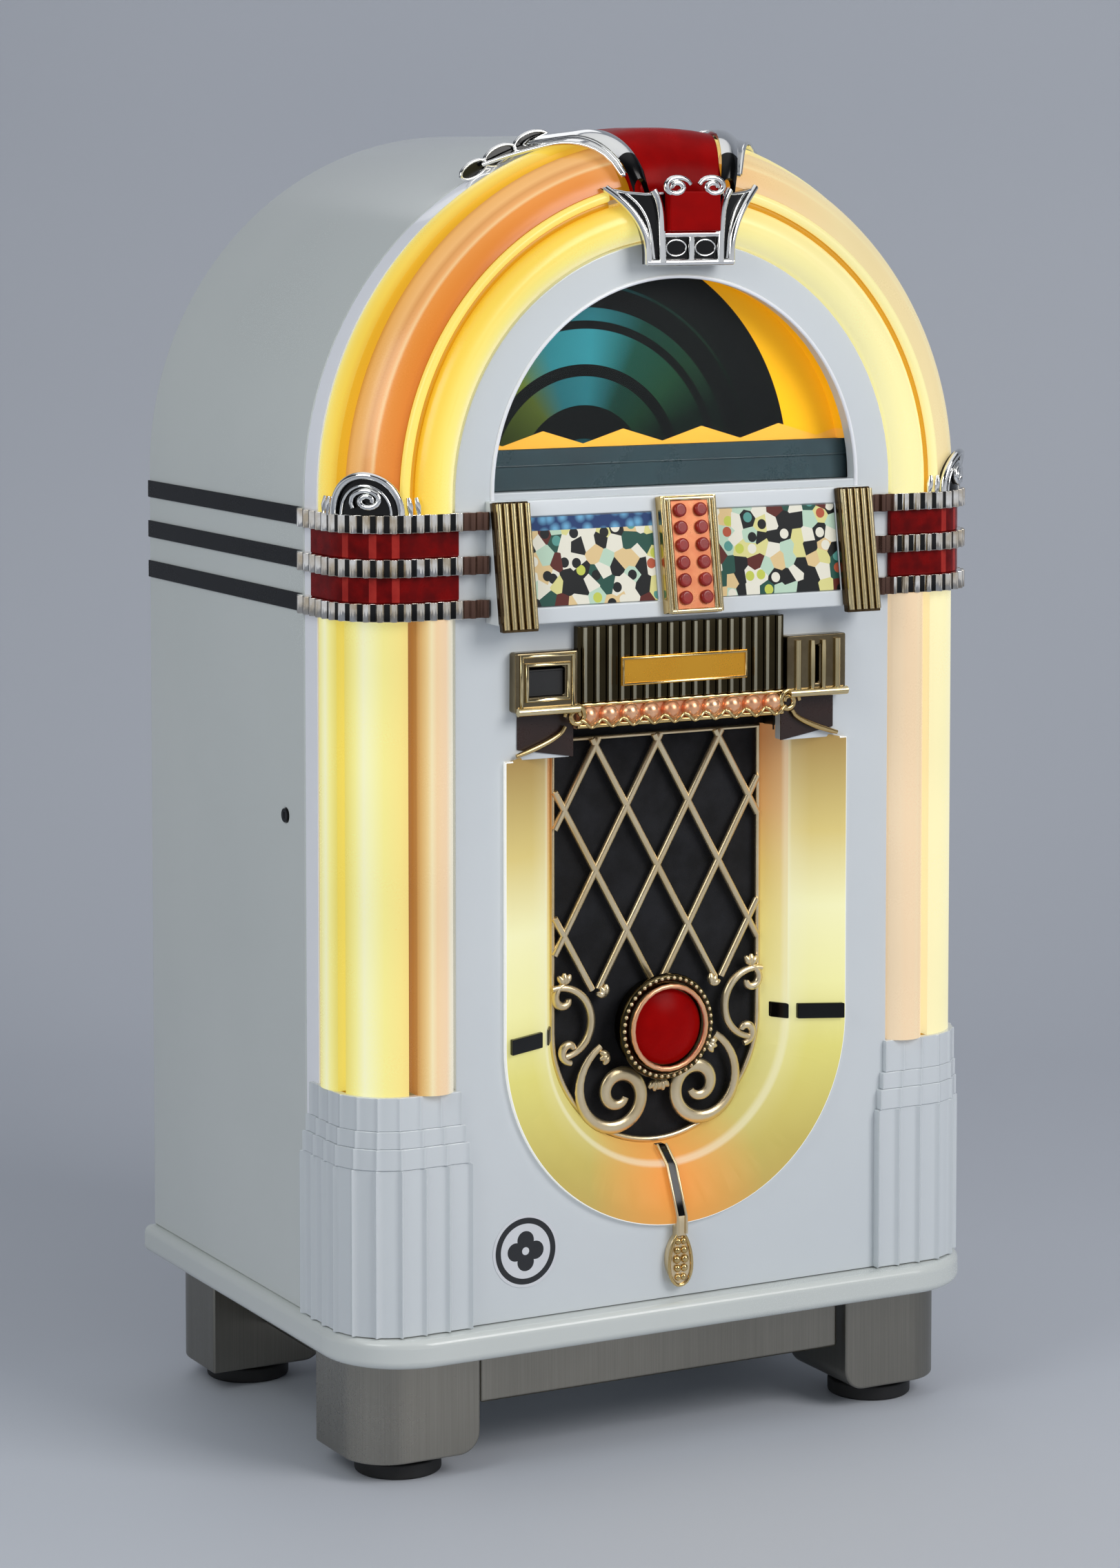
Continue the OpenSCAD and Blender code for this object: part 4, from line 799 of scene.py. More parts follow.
def on_arch(turn, radius, back):
    """A point of the arch, by degrees from its top, from its centre and from the door's face."""
    angle = radians(turn)
    return Vector((radius * sin(angle), front + back, spring + radius * cos(angle)))


def on_crown(turn, share, reach):
    """A point beside the crown, on a reach round the door's corner, from its front to its rear."""
    back = ease(*crown_run, share)
    out = corner_out + sqrt(reach ** 2 - max(corner_back - back, 0) ** 2)
    return on_arch(turn, out, back)


def on_plate(across, share, reach):
    """A point of a chrome plate beside the crown, which widens towards the rear."""
    inner = 12 * ease(*crown_flare, share) + plate_gap
    return on_crown(inner + ease(*plate_wide, share ** 1.6) * across, share, reach)


def on_rib(across, share):
    """A point of a bright rib beside the crown, which fans out with it and swells in its middle."""
    turn = ease(*rib_edges, (across + 1) / 2) * ease(*crown_flare, share)
    return on_crown(turn, share, rib_reach + rib_swell * (1 - across ** 2))


def on_key_body(across, share):
    """A point in the middle of the keystone's thickness."""
    return on_key(across * key_edge(share), share * (key_tall - 0.006 * (1 - across ** 4)), -key_deep / 2)


circle = [(cos(2 * pi * i / 28), sin(2 * pi * i / 28)) for i in range(28)]
shares = [i / 16 for i in range(17)]
key_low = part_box("keystone")[0].z
key_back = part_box("keystone")[0].y + 0.020
key_deep = 0.012
key_tall = 0.086
key_foot = 0.056
key_ear = 0.100
ear_start = 0.046
ear_bend = 0.024
crown_run = (-0.006, 0.126)
plate_wide = (0.8, 8.5)
plate_gap = 0.6
rib_edges = (9.2, 12.3)
rib_reach = 0.0760
rib_swell = 0.0025
key_brow = [(key_ear, 0.086), (0.078, 0.081), (0.058, 0.079), (0.036, 0.080)]
key_crosses = [[(-0.056, 0.002), (0, 0.002), (0.056, 0.002)],
               [(-0.039, 0.034), (0, 0.034), (0.039, 0.034)],
               [(0, 0.002), (0, 0.018), (0, 0.034)]]
black_enamel = finish("black_enamel", "#070708", "#0b0b0c", 20, 400, (0.1, 0.18), Specular_IOR_Level=0.3)
key_body = mapped_grid(24, 12, on_key_body, key_deep, black_enamel)
crown_ribs = mapped_grid(8, 28, lambda x, y: on_rib(x, ease(-0.045, 1, y)), 0.006, chrome)
coat(both_sides(crown_ribs), black_enamel)
paint(crown_ribs, 1, lambda face: section_place(face.center)[1] < 0.0)
edge_route = [on_key(key_edge(s) - 0.002, s * key_tall, 0.001) for s in shares]
flank_route = key_curve(0.0375, 0.0400, 0.010, 6, 0.002, 0.084, 0.003)
line_route = key_curve(0.0475, 0.0560, 0.022, 4, 0.006, 0.080, 0.001)
brow_route = [on_key(x, z, 0.001) for x, z in key_brow]
cross_routes = [[on_key(*place, proud) for place, proud in zip(cross, (0.002, 0.003, 0.002))]
                for cross in key_crosses]
curl_route = [on_key(0.024 + 0.019 * c, 0.087 + 0.013 * s, 0.010)
              for c, s in curled(28, 0.35, 0.13, 2.9, -1)]
oval_route = [on_key(0.0190 + 0.0130 * c, 0.0185 + 0.0090 * s, 0.001) for c, s in circle]
key_rims = both_sides(bars([edge_route, flank_route], 0.0046, chrome))
key_lines = both_sides(bars([line_route, brow_route], 0.0017, chrome))
key_cross = bars(cross_routes, 0.0040, chrome)
key_curls = both_sides(bars([curl_route], 0.0038, chrome, 0.7))
key_ovals = both_sides(bars([oval_route], 0.0011, chrome, closed=True))
crown_plates = both_sides(mapped_grid(8, 24, lambda x, y: on_plate((x + 1) / 2, y, 0.0745), 0.003, chrome))
plate_routes = [[on_plate(across, s, 0.0755) for s in shares] for across in (0.0, 1.0)]
plate_edges = both_sides(bars(plate_routes, 0.0024, chrome))
keystone = joined("keystone_casting", key_body, crown_ribs, key_rims, key_lines, key_cross, key_curls,
                  key_ovals, crown_plates, plate_edges)
fit(keystone, "chrome", "keystone")


# Scroll ornaments
# A pair of lying scrolls on the roof beside the crown, and a hooded shell with a curl on top of each
# ribbed corner: chrome castings with black enamel in their hollows, screwed on from behind.
def on_corner(along, height, radius):
    """A point on a radius round the door's corner, along it from its middle and up from the bands."""
    angle = radians(45) + along / radius
    return Vector((corner_out + radius * sin(angle), front + corner_back - radius * cos(angle),
                   band_top + height))


def hood_height(along):
    """The height of a shell's hood above the band, along the corner."""
    return hood_rise * sqrt(max(1 - (along / hood_half) ** 2, 0.0))


wing_back = 0.133
wing_radius = 0.4150
wing_ovals = [(17.0, 3.3, 0.0120), (23.0, 3.0, 0.0105), (28.2, 2.5, 0.0085)]
wing_rings = [[on_arch(a + w * c, wing_radius + h * s, wing_back - 0.004) for c, s in circle]
              for a, w, h in wing_ovals]
spine_route = [on_arch(13 + i, 0.4065 + 0.002 * sin(i), wing_back) for i in range(17)]
wing_curl = [on_arch(16.6 + 2.2 * c, wing_radius + 0.0055 * s, wing_back - 0.005)
             for c, s in curled(18, 0.45, 0.2)]
wing_fills = []
for wing_angle, wing_wide, wing_high in wing_ovals:
    wing_fills.append(mapped_grid(10, 4, lambda x, y: on_arch(
        wing_angle + wing_wide * x, wing_radius + wing_high * (2 * y - 1) * sqrt(max(1 - x * x, 0.0)),
        wing_back), 0.004, black_enamel))
wings = joined("wings", bars(wing_rings, 0.0020, chrome, closed=True),
               bars([spine_route], 0.0036, chrome, 0.5),
               bars([wing_curl], 0.0016, chrome, 0.6), *wing_fills)
band_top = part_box("mid_bands")[1].z
hood_half = 0.042
hood_rise = 0.044
hood_steps = [hood_half * cos(pi * i / 24) for i in range(25)]
rim_points = [on_corner(s, hood_height(s), 0.0745) for s in hood_steps]
line_points = [on_corner(0.72 * s, 0.74 * hood_height(s), 0.0730) for s in hood_steps]
shell_curl = [on_corner(-0.004 + 0.021 * c, 0.016 + 0.015 * s, 0.0745)
              for c, s in curled(26, 0.42, 0.13, -0.6)]
tip_routes = [[on_corner(s, -0.002, 0.0745), on_corner(s * 0.98, 0.009, 0.0745),
               on_corner(s * 0.94, 0.019, 0.0735)] for s in (-0.063, -0.053, 0.053, 0.063)]
hood_back = mapped_grid(16, 6, lambda x, y: on_corner(
    hood_half * x, hood_height(hood_half * x) * y, 0.0695), 0.004, black_enamel)
shells = joined("shells", bars([rim_points], 0.0045, chrome), bars([line_points], 0.0018, chrome),
                bars([shell_curl], 0.0036, chrome, 0.7), bars(tip_routes, 0.0040, chrome, 0.6), hood_back)
scrolls = joined("scroll_castings", both_sides(wings), both_sides(shells))
fit(scrolls, "chrome", "scroll_ornaments")


# Corner bands
# Three bands of ribbed chrome round each front corner at half height, with darker bronze blocks where
# they end on the door's face. They are cast, plated and screwed to the door from behind.
def corner_path(along, radius, inner_end, mean):
    """A point of a corner casting's plan: along the face, round the corner and back along the side."""
    face_run = corner_out - inner_end
    turn_run = pi / 2 * mean
    if along < face_run:
        return inner_end + along, corner_back - radius
    if along < face_run + turn_run:
        angle = (along - face_run) / mean
        return corner_out + radius * sin(angle), corner_back - radius * cos(angle)
    return corner_out + radius, corner_back + along - face_run - turn_run


def between_ribs(face):
    """Whether a face is part of a band's floor, which is black as painted shade between the ribs."""
    out = max(abs(face.center.x) - corner_out, 0)
    deep = min(face.center.y - front - corner_back, 0)
    return abs(face.normal.z) < 0.5 and 0.070 < hypot(out, deep) < band_floor + 0.0004


band_end = 0.249
band_mean = 0.078
band_back = 0.140
band_length = corner_out - band_end + pi / 2 * band_mean + band_back - corner_back
band_ribs = 18
rib_steps = 12
rib_pitch = band_length / band_ribs
rib_share = 0.56
rib_height = 0.0045
band_floor = 0.0756
band_rear = 0.0642
band_heights = [0.9835, 1.0325, 1.0815]
band_tall = 0.0205
block_end = 0.284
bronze = finish("bronze", "#705448", "#644a40", 4, 500, (0.2, 0.3), Metallic=0.8)
band_chrome = finish("band_chrome", "#f6f4f0", "#cec0aa", 45, 300, (0.05, 0.12), Metallic=1)
band_plan = []
for i in range(band_ribs * rib_steps + 1):
    place = (i % rib_steps) / rib_steps / rib_share
    swell = sqrt(max(1 - (2 * place - 1) ** 2, 0.0))
    along = i * rib_pitch / rib_steps
    band_plan.append(corner_path(along, band_floor + rib_height * swell, band_end, band_mean))
for i in range(25):
    band_plan.append(corner_path(band_length * (1 - i / 24), band_rear, band_end, band_mean))
bands = []
for band_z in band_heights:
    band = cut_plate(band_plan, lambda u, v: Vector((u, front + v, band_z)), (0, 0, band_tall))
    bands.append(soften(band, 0.0006, 1, 70))
corner_bands = both_sides(joined("corner_bands", *bands))
coat(corner_bands, band_chrome, bronze, black_enamel)
# The black floor between the chrome ribs is painted shade.
paint(corner_bands, 2, between_ribs)
paint(corner_bands, 1, lambda face: abs(face.center.x) < block_end)
fit(corner_bands, "chrome", "mid_bands")


# Foot castings
# White castings with broad flutes and a stepped collar, which hold the lower ends of the pilasters'
# tubes. They are screwed to the door from behind.
def foot_plan(radius, depth, inset):
    """A foot casting's plan: fluted outside to this depth, plain inside, with its ends set in."""
    inner_end = foot_end + inset
    length = corner_out - inner_end + pi / 2 * foot_mean + band_back - 1.5 * inset - corner_back
    plan = []
    for i in range(foot_flutes * flute_steps + 1):
        hollow = 1 - (2 * (i % flute_steps) / flute_steps - 1) ** 8
        along = i * length / foot_flutes / flute_steps
        plan.append(corner_path(along, radius - depth * hollow, inner_end, foot_mean))
    return plan + [corner_path(length * (1 - i / 16), foot_rear, inner_end, foot_mean) for i in range(17)]


foot_end = 0.270
foot_mean = 0.074
foot_rear = 0.0600
foot_flutes = 9
flute_steps = 10
flute_deep = 0.0055
foot_courses = [(0.178, 0.368, 0.0760, 1.0, 0.0), (0.368, 0.392, 0.0746, 0.5, 0.0035),
                (0.392, 0.412, 0.0732, 0.5, 0.0075), (0.412, 0.450, 0.0718, 0.4, 0.0120)]
foot_parts = []
for course_low, course_high, course_radius, course_depth, course_inset in foot_courses:
    course = cut_plate(foot_plan(course_radius, course_depth * flute_deep, course_inset),
                       lambda u, v: Vector((u, front + v, course_low)), (0, 0, course_high - course_low))
    foot_parts.append(soften(course, 0.0012, 3, 50))
fluted_feet = coat(both_sides(joined("fluted_feet", *foot_parts)), white_gloss)
fit(fluted_feet, "white_gloss", "foot_castings")


# Title panel
# A white housing that leans back, with two title cards behind clear film, ribbed bronze-gold end
# castings and a cast gold key plate. The cards carry plain patches and discs, and one a blue strip.
well_half = 0.040
title_housing = cast_from("title_frame", "title_housing")
select(title_housing, "EDGE", lambda place: False)
bpy.ops.mesh.edges_select_sharp(sharpness=radians(38))
mode("OBJECT")
for edge in title_housing.data.edges:
    if all(abs(title_housing.data.vertices[i].co.x) < well_half for i in edge.vertices):
        edge.select = False
mode("EDIT")
bpy.ops.mesh.bevel(offset=0.002, segments=3)
mode("OBJECT")
coat(soften(title_housing, 0.0), white_gloss)
fit(title_housing, "white_gloss", "title_housing")
patch_size = 0.016
strip_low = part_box("title_cards")[1].z - 0.015
card_print = finish("card_print", "#e8e2c8", "#ded6ba", 9, 500, (0.3, 0.4),
                    Specular_IOR_Level=0.2, Coat_Weight=0.1)
card = Shade(card_print.node_tree)
card_x, _, card_z = card.axes(card.place())
card_flat = card.put("CombineXYZ", [card_x, card_z, 0.0]).outputs[0]
cells = card.put("TexVoronoi", {"Vector": card_flat, "Scale": 1 / patch_size, "Randomness": 0.75},
                 voronoi_dimensions="2D").outputs
card_pick = card.put("SeparateColor", [cells["Color"]]).outputs
patch_colours = card.ramp(card_pick[0], [
    (0.0, "#f4f0de"), (0.30, "#0e1214"), (0.50, "#e8e296"), (0.62, "#c4e0c8"),
    (0.74, "#225448"), (0.83, "#ecce96"), (0.92, "#60241c")], "CONSTANT")
disc_colours = card.ramp(card_pick[1], [
    (0.0, "#101416"), (0.30, "#f4f0de"), (0.58, "#ced65a"), (0.74, "#5ca096"),
    (0.88, "#be5a3c")], "CONSTANT")
disc_inside = card.maths("LESS_THAN", cells["Distance"], 0.36)
disc_mask = card.maths("MULTIPLY", disc_inside, card.maths("GREATER_THAN", card_pick[2], 0.60))
card_patches = card.blend(disc_mask, patch_colours, disc_colours)
strip_high = card.maths("GREATER_THAN", card_z, strip_low)
strip_mask = card.maths("MULTIPLY", strip_high, card.maths("LESS_THAN", card_x, 0.0))
strip_colour = card.blend(card.spread(cells["Distance"], 0.1, 0.5), "#6eb0d6", "#163a70")
card.feed(card.blend(strip_mask, card_patches, strip_colour), "Base Color")
refinish(card_print, "title_cards")


def on_panel(x, up, proud):
    """A point in front of the key plate's leaning face, from its middle."""
    return Vector((x, panel_face - proud * cos(title_lean) + up * sin(title_lean),
                   panel_mid + up * cos(title_lean) + proud * sin(title_lean)))


def panel_depth(place):
    """How far a point stands in front of the key plate's leaning face."""
    return (panel_face - place.y) * cos(title_lean) + (place.z - panel_mid) * sin(title_lean)


title_lean = radians(9)
panel_low, panel_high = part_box("key_plate")
panel_mid = (panel_low.z + panel_high.z) / 2
panel_face = (panel_low.y + panel_high.y) / 2 - 0.006 * cos(title_lean)
end_mid = 0.2255
end_half = 0.0225
end_low = -0.0770
end_step = -0.066
end_high = 0.0665
end_pitch = 0.0090
end_proud = 0.0005
gold = finish("gold_plate", "#e2c892", "#d0b278", 14, 500, (0.14, 0.22), Metallic=1)
bronze_gold = finish("bronze_gold", "#e4d2a6", "#d0bc8c", 14, 500, (0.14, 0.22), Metallic=1)
# The dark bronze under and between the pale ribs is partly the metal's colour and partly painted shade.
end_bronze_and_shade = finish("end_bronze_and_shade", "#5e4c32", "#463826", 40, 500, (0.2, 0.3), Metallic=0.9)
title_ends = dressed("ribbed_ends", "title_ends", 0.0008, 1, end_bronze_and_shade)
end_feet = cut_plate(rectangle(-end_half, end_low, end_half, end_step),
                     lambda x, up: on_panel(end_mid + x, up, -0.0015), (0, 0.009, 0))
coat(both_sides(soften(end_feet, 0.0012, 2)), end_bronze_and_shade)
end_bars = [[on_panel(end_mid + i * end_pitch, up, end_proud) for up in (end_low + 0.003, 0.0, end_high)]
            for i in range(-2, 3)]
end_ribs = both_sides(bars(end_bars, 0.0034, bronze_gold))
fit(joined("ribbed_ends", title_ends, end_feet, end_ribs), "bronze", "title_ends")
panel_half = 0.066
trim_half = 0.0325
cap_half = panel_half - 0.002
key_field = finish("key_field", "#e89462", "#da7c4e", 60, 500, (0.25, 0.35), Metallic=0.3)
key_panel = dressed("key_panel", "key_plate", 0.0016, 2, gold)
panel_bars = [[on_panel(x, ease(-panel_half, panel_half, i / 8), 0.0) for i in range(9)]
              for x in (-trim_half, -0.0265, 0.0265, trim_half)]
panel_caps = [straight(on_panel(-trim_half, up, 0.0), on_panel(trim_half, up, 0.0))
              for up in (-cap_half, cap_half)]
panel_trim = bars(panel_bars + panel_caps, 0.0030, bronze_gold)
panel_field = cut_plate(rectangle(-0.0255, -0.063, 0.0255, 0.063),
                        lambda x, up: on_panel(x, up, 0.0008), (0, 0.002, 0))
coat(panel_field, key_field)
fit(joined("key_panel", key_panel, panel_trim, panel_field), "gold", "key_plate")
# The keys carry a faint painted glow.
red_key = finish("red_key", "#961c12", "#80120c", 60, 400, (0.2, 0.3), Coat_Weight=0.2,
                 Emission_Color="#b4220e", Emission_Strength=0.06)
for key_number in range(1, 13):
    key_name = f"button_{key_number:02d}"
    key_cap = cast_from(key_name + "_cap", key_name)
    key_face = max(panel_depth(corner.co) for corner in key_cap.data.vertices) - 0.0003
    select(key_cap, "EDGE", lambda place: panel_depth(place) > key_face)
    bpy.ops.mesh.bevel(offset=0.0028, segments=4)
    mode("OBJECT")
    fit(coat(soften(key_cap, 0.0), red_key), "red_key", key_name, body=key_name)


# Coin section
# A ribbed bronze apron with a bare gold plate and a rail of rose-gold beads under it, between the coin
# return on the left and the coin slot on the right. All are cast and plated, and screwed from behind.
dark_bronze = finish("dark_bronze", "#4c432e", "#3c3423", 18, 500, (0.14, 0.22), Metallic=1)
crest_painted_highlight = finish("crest_painted_highlight", "#d4ccb2", "#c4ba9e", 18, 500, (0.10, 0.16), Metallic=1)
brown_enamel = finish("brown_enamel", "#32201a", "#281914", 20, 400, (0.25, 0.4))
apron_low = 0.881
apron_high = 0.966
apron_crest = front - 0.0130
apron_pitch = 0.016
block_side = 0.1365
block_mid = 0.180
block_rise = 0.012
apron = cast_from("ribbed_apron", "coin_apron")
block_low = min(corner.co.z for corner in apron.data.vertices)
for corner in apron.data.vertices:
    if abs(corner.co.x) > block_mid and corner.co.z < block_low + 0.001:
        corner.co.z += block_rise
coat(soften(apron, 0.0010, 2), dark_bronze, brown_enamel)
paint(apron, 1, lambda face: abs(face.center.x) > block_side)
# A pale line along each rib's crest is a painted highlight on the dark bronze.
crest_routes = [straight((x, apron_crest, apron_low), (x, apron_crest, apron_high))
                for x in [i * apron_pitch for i in range(-8, 9)]]
apron_highlight_lines = bars(crest_routes, 0.0027, crest_painted_highlight)
fit(joined("ribbed_apron", apron, apron_highlight_lines), "bronze", "coin_apron")
rim_inset = 0.002
plate_gold = finish("plate_gold", "#eeae36", "#e4a02c", 12, 500, (0.26, 0.30), Metallic=0.7)
plate_low, plate_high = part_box("name_plate")
bare_plate = dressed("bare_plate", "name_plate", 0.0008, 2, plate_gold)
rim_corners = rectangle(plate_low.x + rim_inset, plate_low.z + rim_inset,
                        plate_high.x - rim_inset, plate_high.z - rim_inset)
plate_route = [Vector((x, plate_low.y - 0.0004, z)) for x, z in rim_corners]
plate_rim = bars([plate_route], 0.0018, gold, closed=True)
fit(joined("bare_plate", bare_plate, plate_rim), "gold", "name_plate")
bead_pitch = 0.027
rose_gold = finish("rose_gold", "#ffc89e", "#f8b286", 20, 500, (0.26, 0.34), Metallic=0.75)
rail_low, rail_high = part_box("bead_rail")
rail_mid = (rail_low.z + rail_high.z) / 2
beads = dressed("bead_row", "bead_rail", 0.0, 2, rose_gold)
rail_routes = [straight((rail_low.x, front - 0.008, z), (rail_high.x, front - 0.008, z))
               for z in (rail_low.z + 0.003, rail_high.z - 0.003)]
garland = [Vector((i * bead_pitch / 8, front - 0.0165 - 0.002 * sin(pi * i / 4) ** 2,
                   rail_mid - 0.0085 - 0.0045 * cos(pi * (i + 4) / 4))) for i in range(-40, 41)]
end_curl = [Vector((-0.1400 - 0.0150 * c, front - 0.014, rail_mid + 0.001 + 0.0150 * s))
            for c, s in curled(28, 0.35, 0.12)]
end_sweep = [Vector((-0.150 - 0.062 * s, front - 0.006, rail_low.z + 0.004 - 0.030 * s ** 0.6))
             for s in shares]
rail_ends = both_sides(bars([end_curl, end_sweep], 0.0034, gold, 0.7))
bead_row = joined("bead_row", beads, bars(rail_routes, 0.0028, gold), bars([garland], 0.0020, gold),
                  rail_ends)
fit(bead_row, "rose_gold", "bead_rail")
coin_bronze = finish("coin_bronze", "#8c7e62", "#70624a", 30, 500, (0.16, 0.26), Metallic=1)
coin_boxes = dressed("coin_castings", "coin_boxes", 0.0030, 3, coin_bronze)
coin_low, coin_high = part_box("coin_boxes")
coin_mid = (coin_low.z + coin_high.z) / 2
coin_x = 0.178
lip_heights = (-0.028, -0.020, 0.0, 0.020, 0.028)


def on_coin(x, z, proud):
    """A point in front of a coin box, from the middle of its height."""
    return Vector((x, coin_low.y - proud, coin_mid + z))


frame_routes = [[on_coin(x - coin_x, z, proud) for x, z in rectangle(-wide, -tall, wide, tall)]
                for wide, tall, proud in [(0.0265, 0.0200, 0.001), (0.0330, 0.0300, 0.0)]]
lip_routes = [[on_coin(coin_x + x, z, 0.002) for z in lip_heights] for x in (-0.0075, 0.0075)]
post_routes = [straight(on_coin(coin_x + x, -0.029, 0.001), on_coin(coin_x + x, 0.029, 0.001))
               for x in (-0.0265, 0.0265)]
shelf_drop = coin_low.z + 0.002 - coin_mid
shelf_routes = [straight(on_coin(x - 0.039, shelf_drop, 0.003), on_coin(x + 0.039, shelf_drop, 0.003))
                for x in (-coin_x, coin_x)]
coin_castings = joined("coin_castings", coin_boxes, bars(frame_routes, 0.0030, bronze_gold, closed=True),
                       bars(lip_routes, 0.0034, bronze_gold, 0.8), bars(post_routes, 0.0040, bronze_gold),
                       bars(shelf_routes, 0.0050, bronze_gold))
fit(coin_castings, "gold", "coin_boxes")
refinish(black_plastic, "coin_flap")


# U-shaped light
# A funnel of yellow plastic round the grille with lamps behind it, held under a white lip with a painted
# glow. It glows palest half-way up its legs, tan at the top and orange at the bottom, and carries a painted
# highlight along its crease.
def light_place(point):
    """How far a point of the light lies from its inner edge, 0 to 1."""
    out = hypot(point.x, min(point.z - grille_centre, 0))
    return (out - light_inner) / (light_outer - light_inner)


def light_depth(out):
    """How far behind the door's face the light's funnel lies, at a distance out from its middle."""
    if out > crease_out:
        return ease(crease_deep, funnel_front, (out - crease_out) / (funnel_out - crease_out))
    return ease(funnel_deep, crease_deep, (out - light_inner) / (crease_out - light_inner))


crease_out = 0.160
crease_deep = 0.019
funnel_out = 0.216
funnel_front = -0.006
funnel_deep = 0.048
wall_rise = 0.014
hot_height = 0.312
grille_centre = 0.490
light_inner = 0.141
light_outer = 0.226
light_bottom, light_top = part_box("u_light")
u_plastic = finish("u_plastic", "#ceb860", "#c6ae54", 5, 300, (0.50, 0.60),
                   Specular_IOR_Level=0.3, Emission_Strength=0.46)
lit = Shade(u_plastic.node_tree)
u_x, _, u_z = lit.axes(lit.place())
u_height = lit.spread(u_z, light_bottom.z, light_top.z)
u_across = lit.put("Attribute", attribute_name="across").outputs["Fac"]
u_crease = lit.maths("ABSOLUTE", lit.maths("SUBTRACT", u_across, 0.22))
u_colours = lit.ramp(u_height, [
    (0.0, "#ccaa60"), (0.06, "#c8ae60"), (0.14, "#c8b662"), (0.34, "#e6de80"),
    (0.48, "#faf6b0"), (0.64, "#fdfac4"), (0.80, "#e2ce84"), (1.0, "#ac8e54")])
u_wall = lit.ramp(u_height, [
    (0.45, "#f2e484"), (0.60, "#f0da70"), (0.72, "#e6be50"), (0.85, "#d89648"),
    (1.0, "#be7238")])
u_hot = lit.spread(lit.distance(u_x, u_z, (0.0, hot_height)), 0.015, 0.115, 0.9, 0.0)
u_lower = lit.blend(u_hot, u_colours, "#fa9e46")
u_inside = lit.maths("LESS_THAN", u_across, 0.23)
u_inner = lit.maths("MULTIPLY", u_inside, lit.spread(u_height, 0.3, 0.5, 0.0, 0.9))
u_base = lit.blend(u_inner, u_lower, u_wall)
# A pale line along the crease, and a paler band beside it above the bottom of the U, are painted
# highlights.
u_with_crease_highlight = lit.blend(lit.spread(u_crease, 0.018, 0.055, 0.85, 0.0), u_base, "#fffce4")
u_near = lit.spread(u_crease, 0.0, 0.30, 0.55, 0.0)
u_highlight_mask = lit.maths("MULTIPLY", u_near, lit.spread(u_height, 0.1, 0.4))
u_highlight_colour = lit.blend(lit.spread(u_height, 0.75, 1.0, 0.0, 0.7), "#fffdde", u_colours)
lit.feed(lit.blend(u_highlight_mask, u_with_crease_highlight, u_highlight_colour), "Emission Color")
lit.feed(lit.times(u_base, "#cecece"), "Base Color")
# The lip's faint glow is a painted highlight.
lip_painted_glow = finish("lip_painted_glow", "#eceeec", "#e6e8e6", 5, 300, (0.16, 0.24),
                   Emission_Color="#fffcf0", Emission_Strength=0.34)
u_light = cast_from("u_funnel", "u_light")
for corner in u_light.data.vertices:
    if corner.co.z > light_top.z - 0.0005 and abs(corner.co.x) < crease_out + 0.002:
        corner.co.z += wall_rise
coat(soften(u_light, 0.0012, 2), u_plastic, lip_painted_glow)
measure(u_light, light_place)
paint(u_light, 1, lambda face: light_place(face.center) > 0.885)
lip_out = 0.2210
lip_bow = [pi * (1 + i / 48) for i in range(49)]
lip_bend = [(lip_out * cos(a), grille_centre + lip_out * sin(a)) for a in lip_bow]
lip_route = [Vector((x, front - 0.0006, z))
             for x, z in [(-lip_out, light_top.z), *lip_bend, (lip_out, light_top.z)]]
u_light = joined("u_funnel", u_light, bars([lip_route], 0.0046, lip_painted_glow))
clamp_height = 0.494
clamp_half = 0.009
clamps = []
for clamp_in, clamp_out in ((0.170, 0.2205), (0.147, 0.160)):
    clamp = cut_plate(rectangle(clamp_in, -clamp_half, clamp_out, clamp_half),
                      lambda x, z: Vector((x, front + light_depth(x) + 0.002, clamp_height + z)),
                      (0, -0.007, 0))
    clamps.append(coat(soften(clamp, 0.0012, 2), black_enamel))
fit(both_sides(joined("light_clamps", *clamps)), "black_plastic")
fit(u_light, "yellow_lens", "u_light")


# Grille
# A black speaker cloth stretched behind a cast lattice of pale gold bars, with scrolls in the lower
# part, a red jewel in a beaded rim and a leaf drop that hangs over the light.
def cloth_place(across, share):
    """A point of the cloth: straight-sided above, round below."""
    up = ease(cloth_front.z, cloth_back.z, share)
    half = sqrt(max(cloth_half ** 2 - min(up - grille_centre, 0) ** 2, 0.0))
    return Vector((across * half, cloth_front.y + 0.001, up))


def on_grille(x, z, proud=0.0):
    """A point in front of the grille's face, from the jewel's centre."""
    return Vector((x, lattice_y - proud, grille_centre + z))


def spiral(centre_x, centre_z, start, end, first, last, steps):
    """A spiral bar on the grille, from radius start at the angle first to radius end at the angle last."""
    route = []
    for i in range(steps + 1):
        angle = radians(ease(first, last, i / steps))
        radius = start * (end / start) ** (i / steps)
        route.append(on_grille(centre_x + radius * cos(angle), centre_z + radius * sin(angle),
                               scroll_proud))
    return route


def bead(place, radius, segments, rings, material):
    """A round bead in its place."""
    bpy.ops.mesh.primitive_uv_sphere_add(
        segments=segments, ring_count=rings, radius=radius, location=place)
    bpy.ops.object.transform_apply(location=True)
    bpy.ops.object.shade_smooth()
    return coat(bpy.context.object, material)


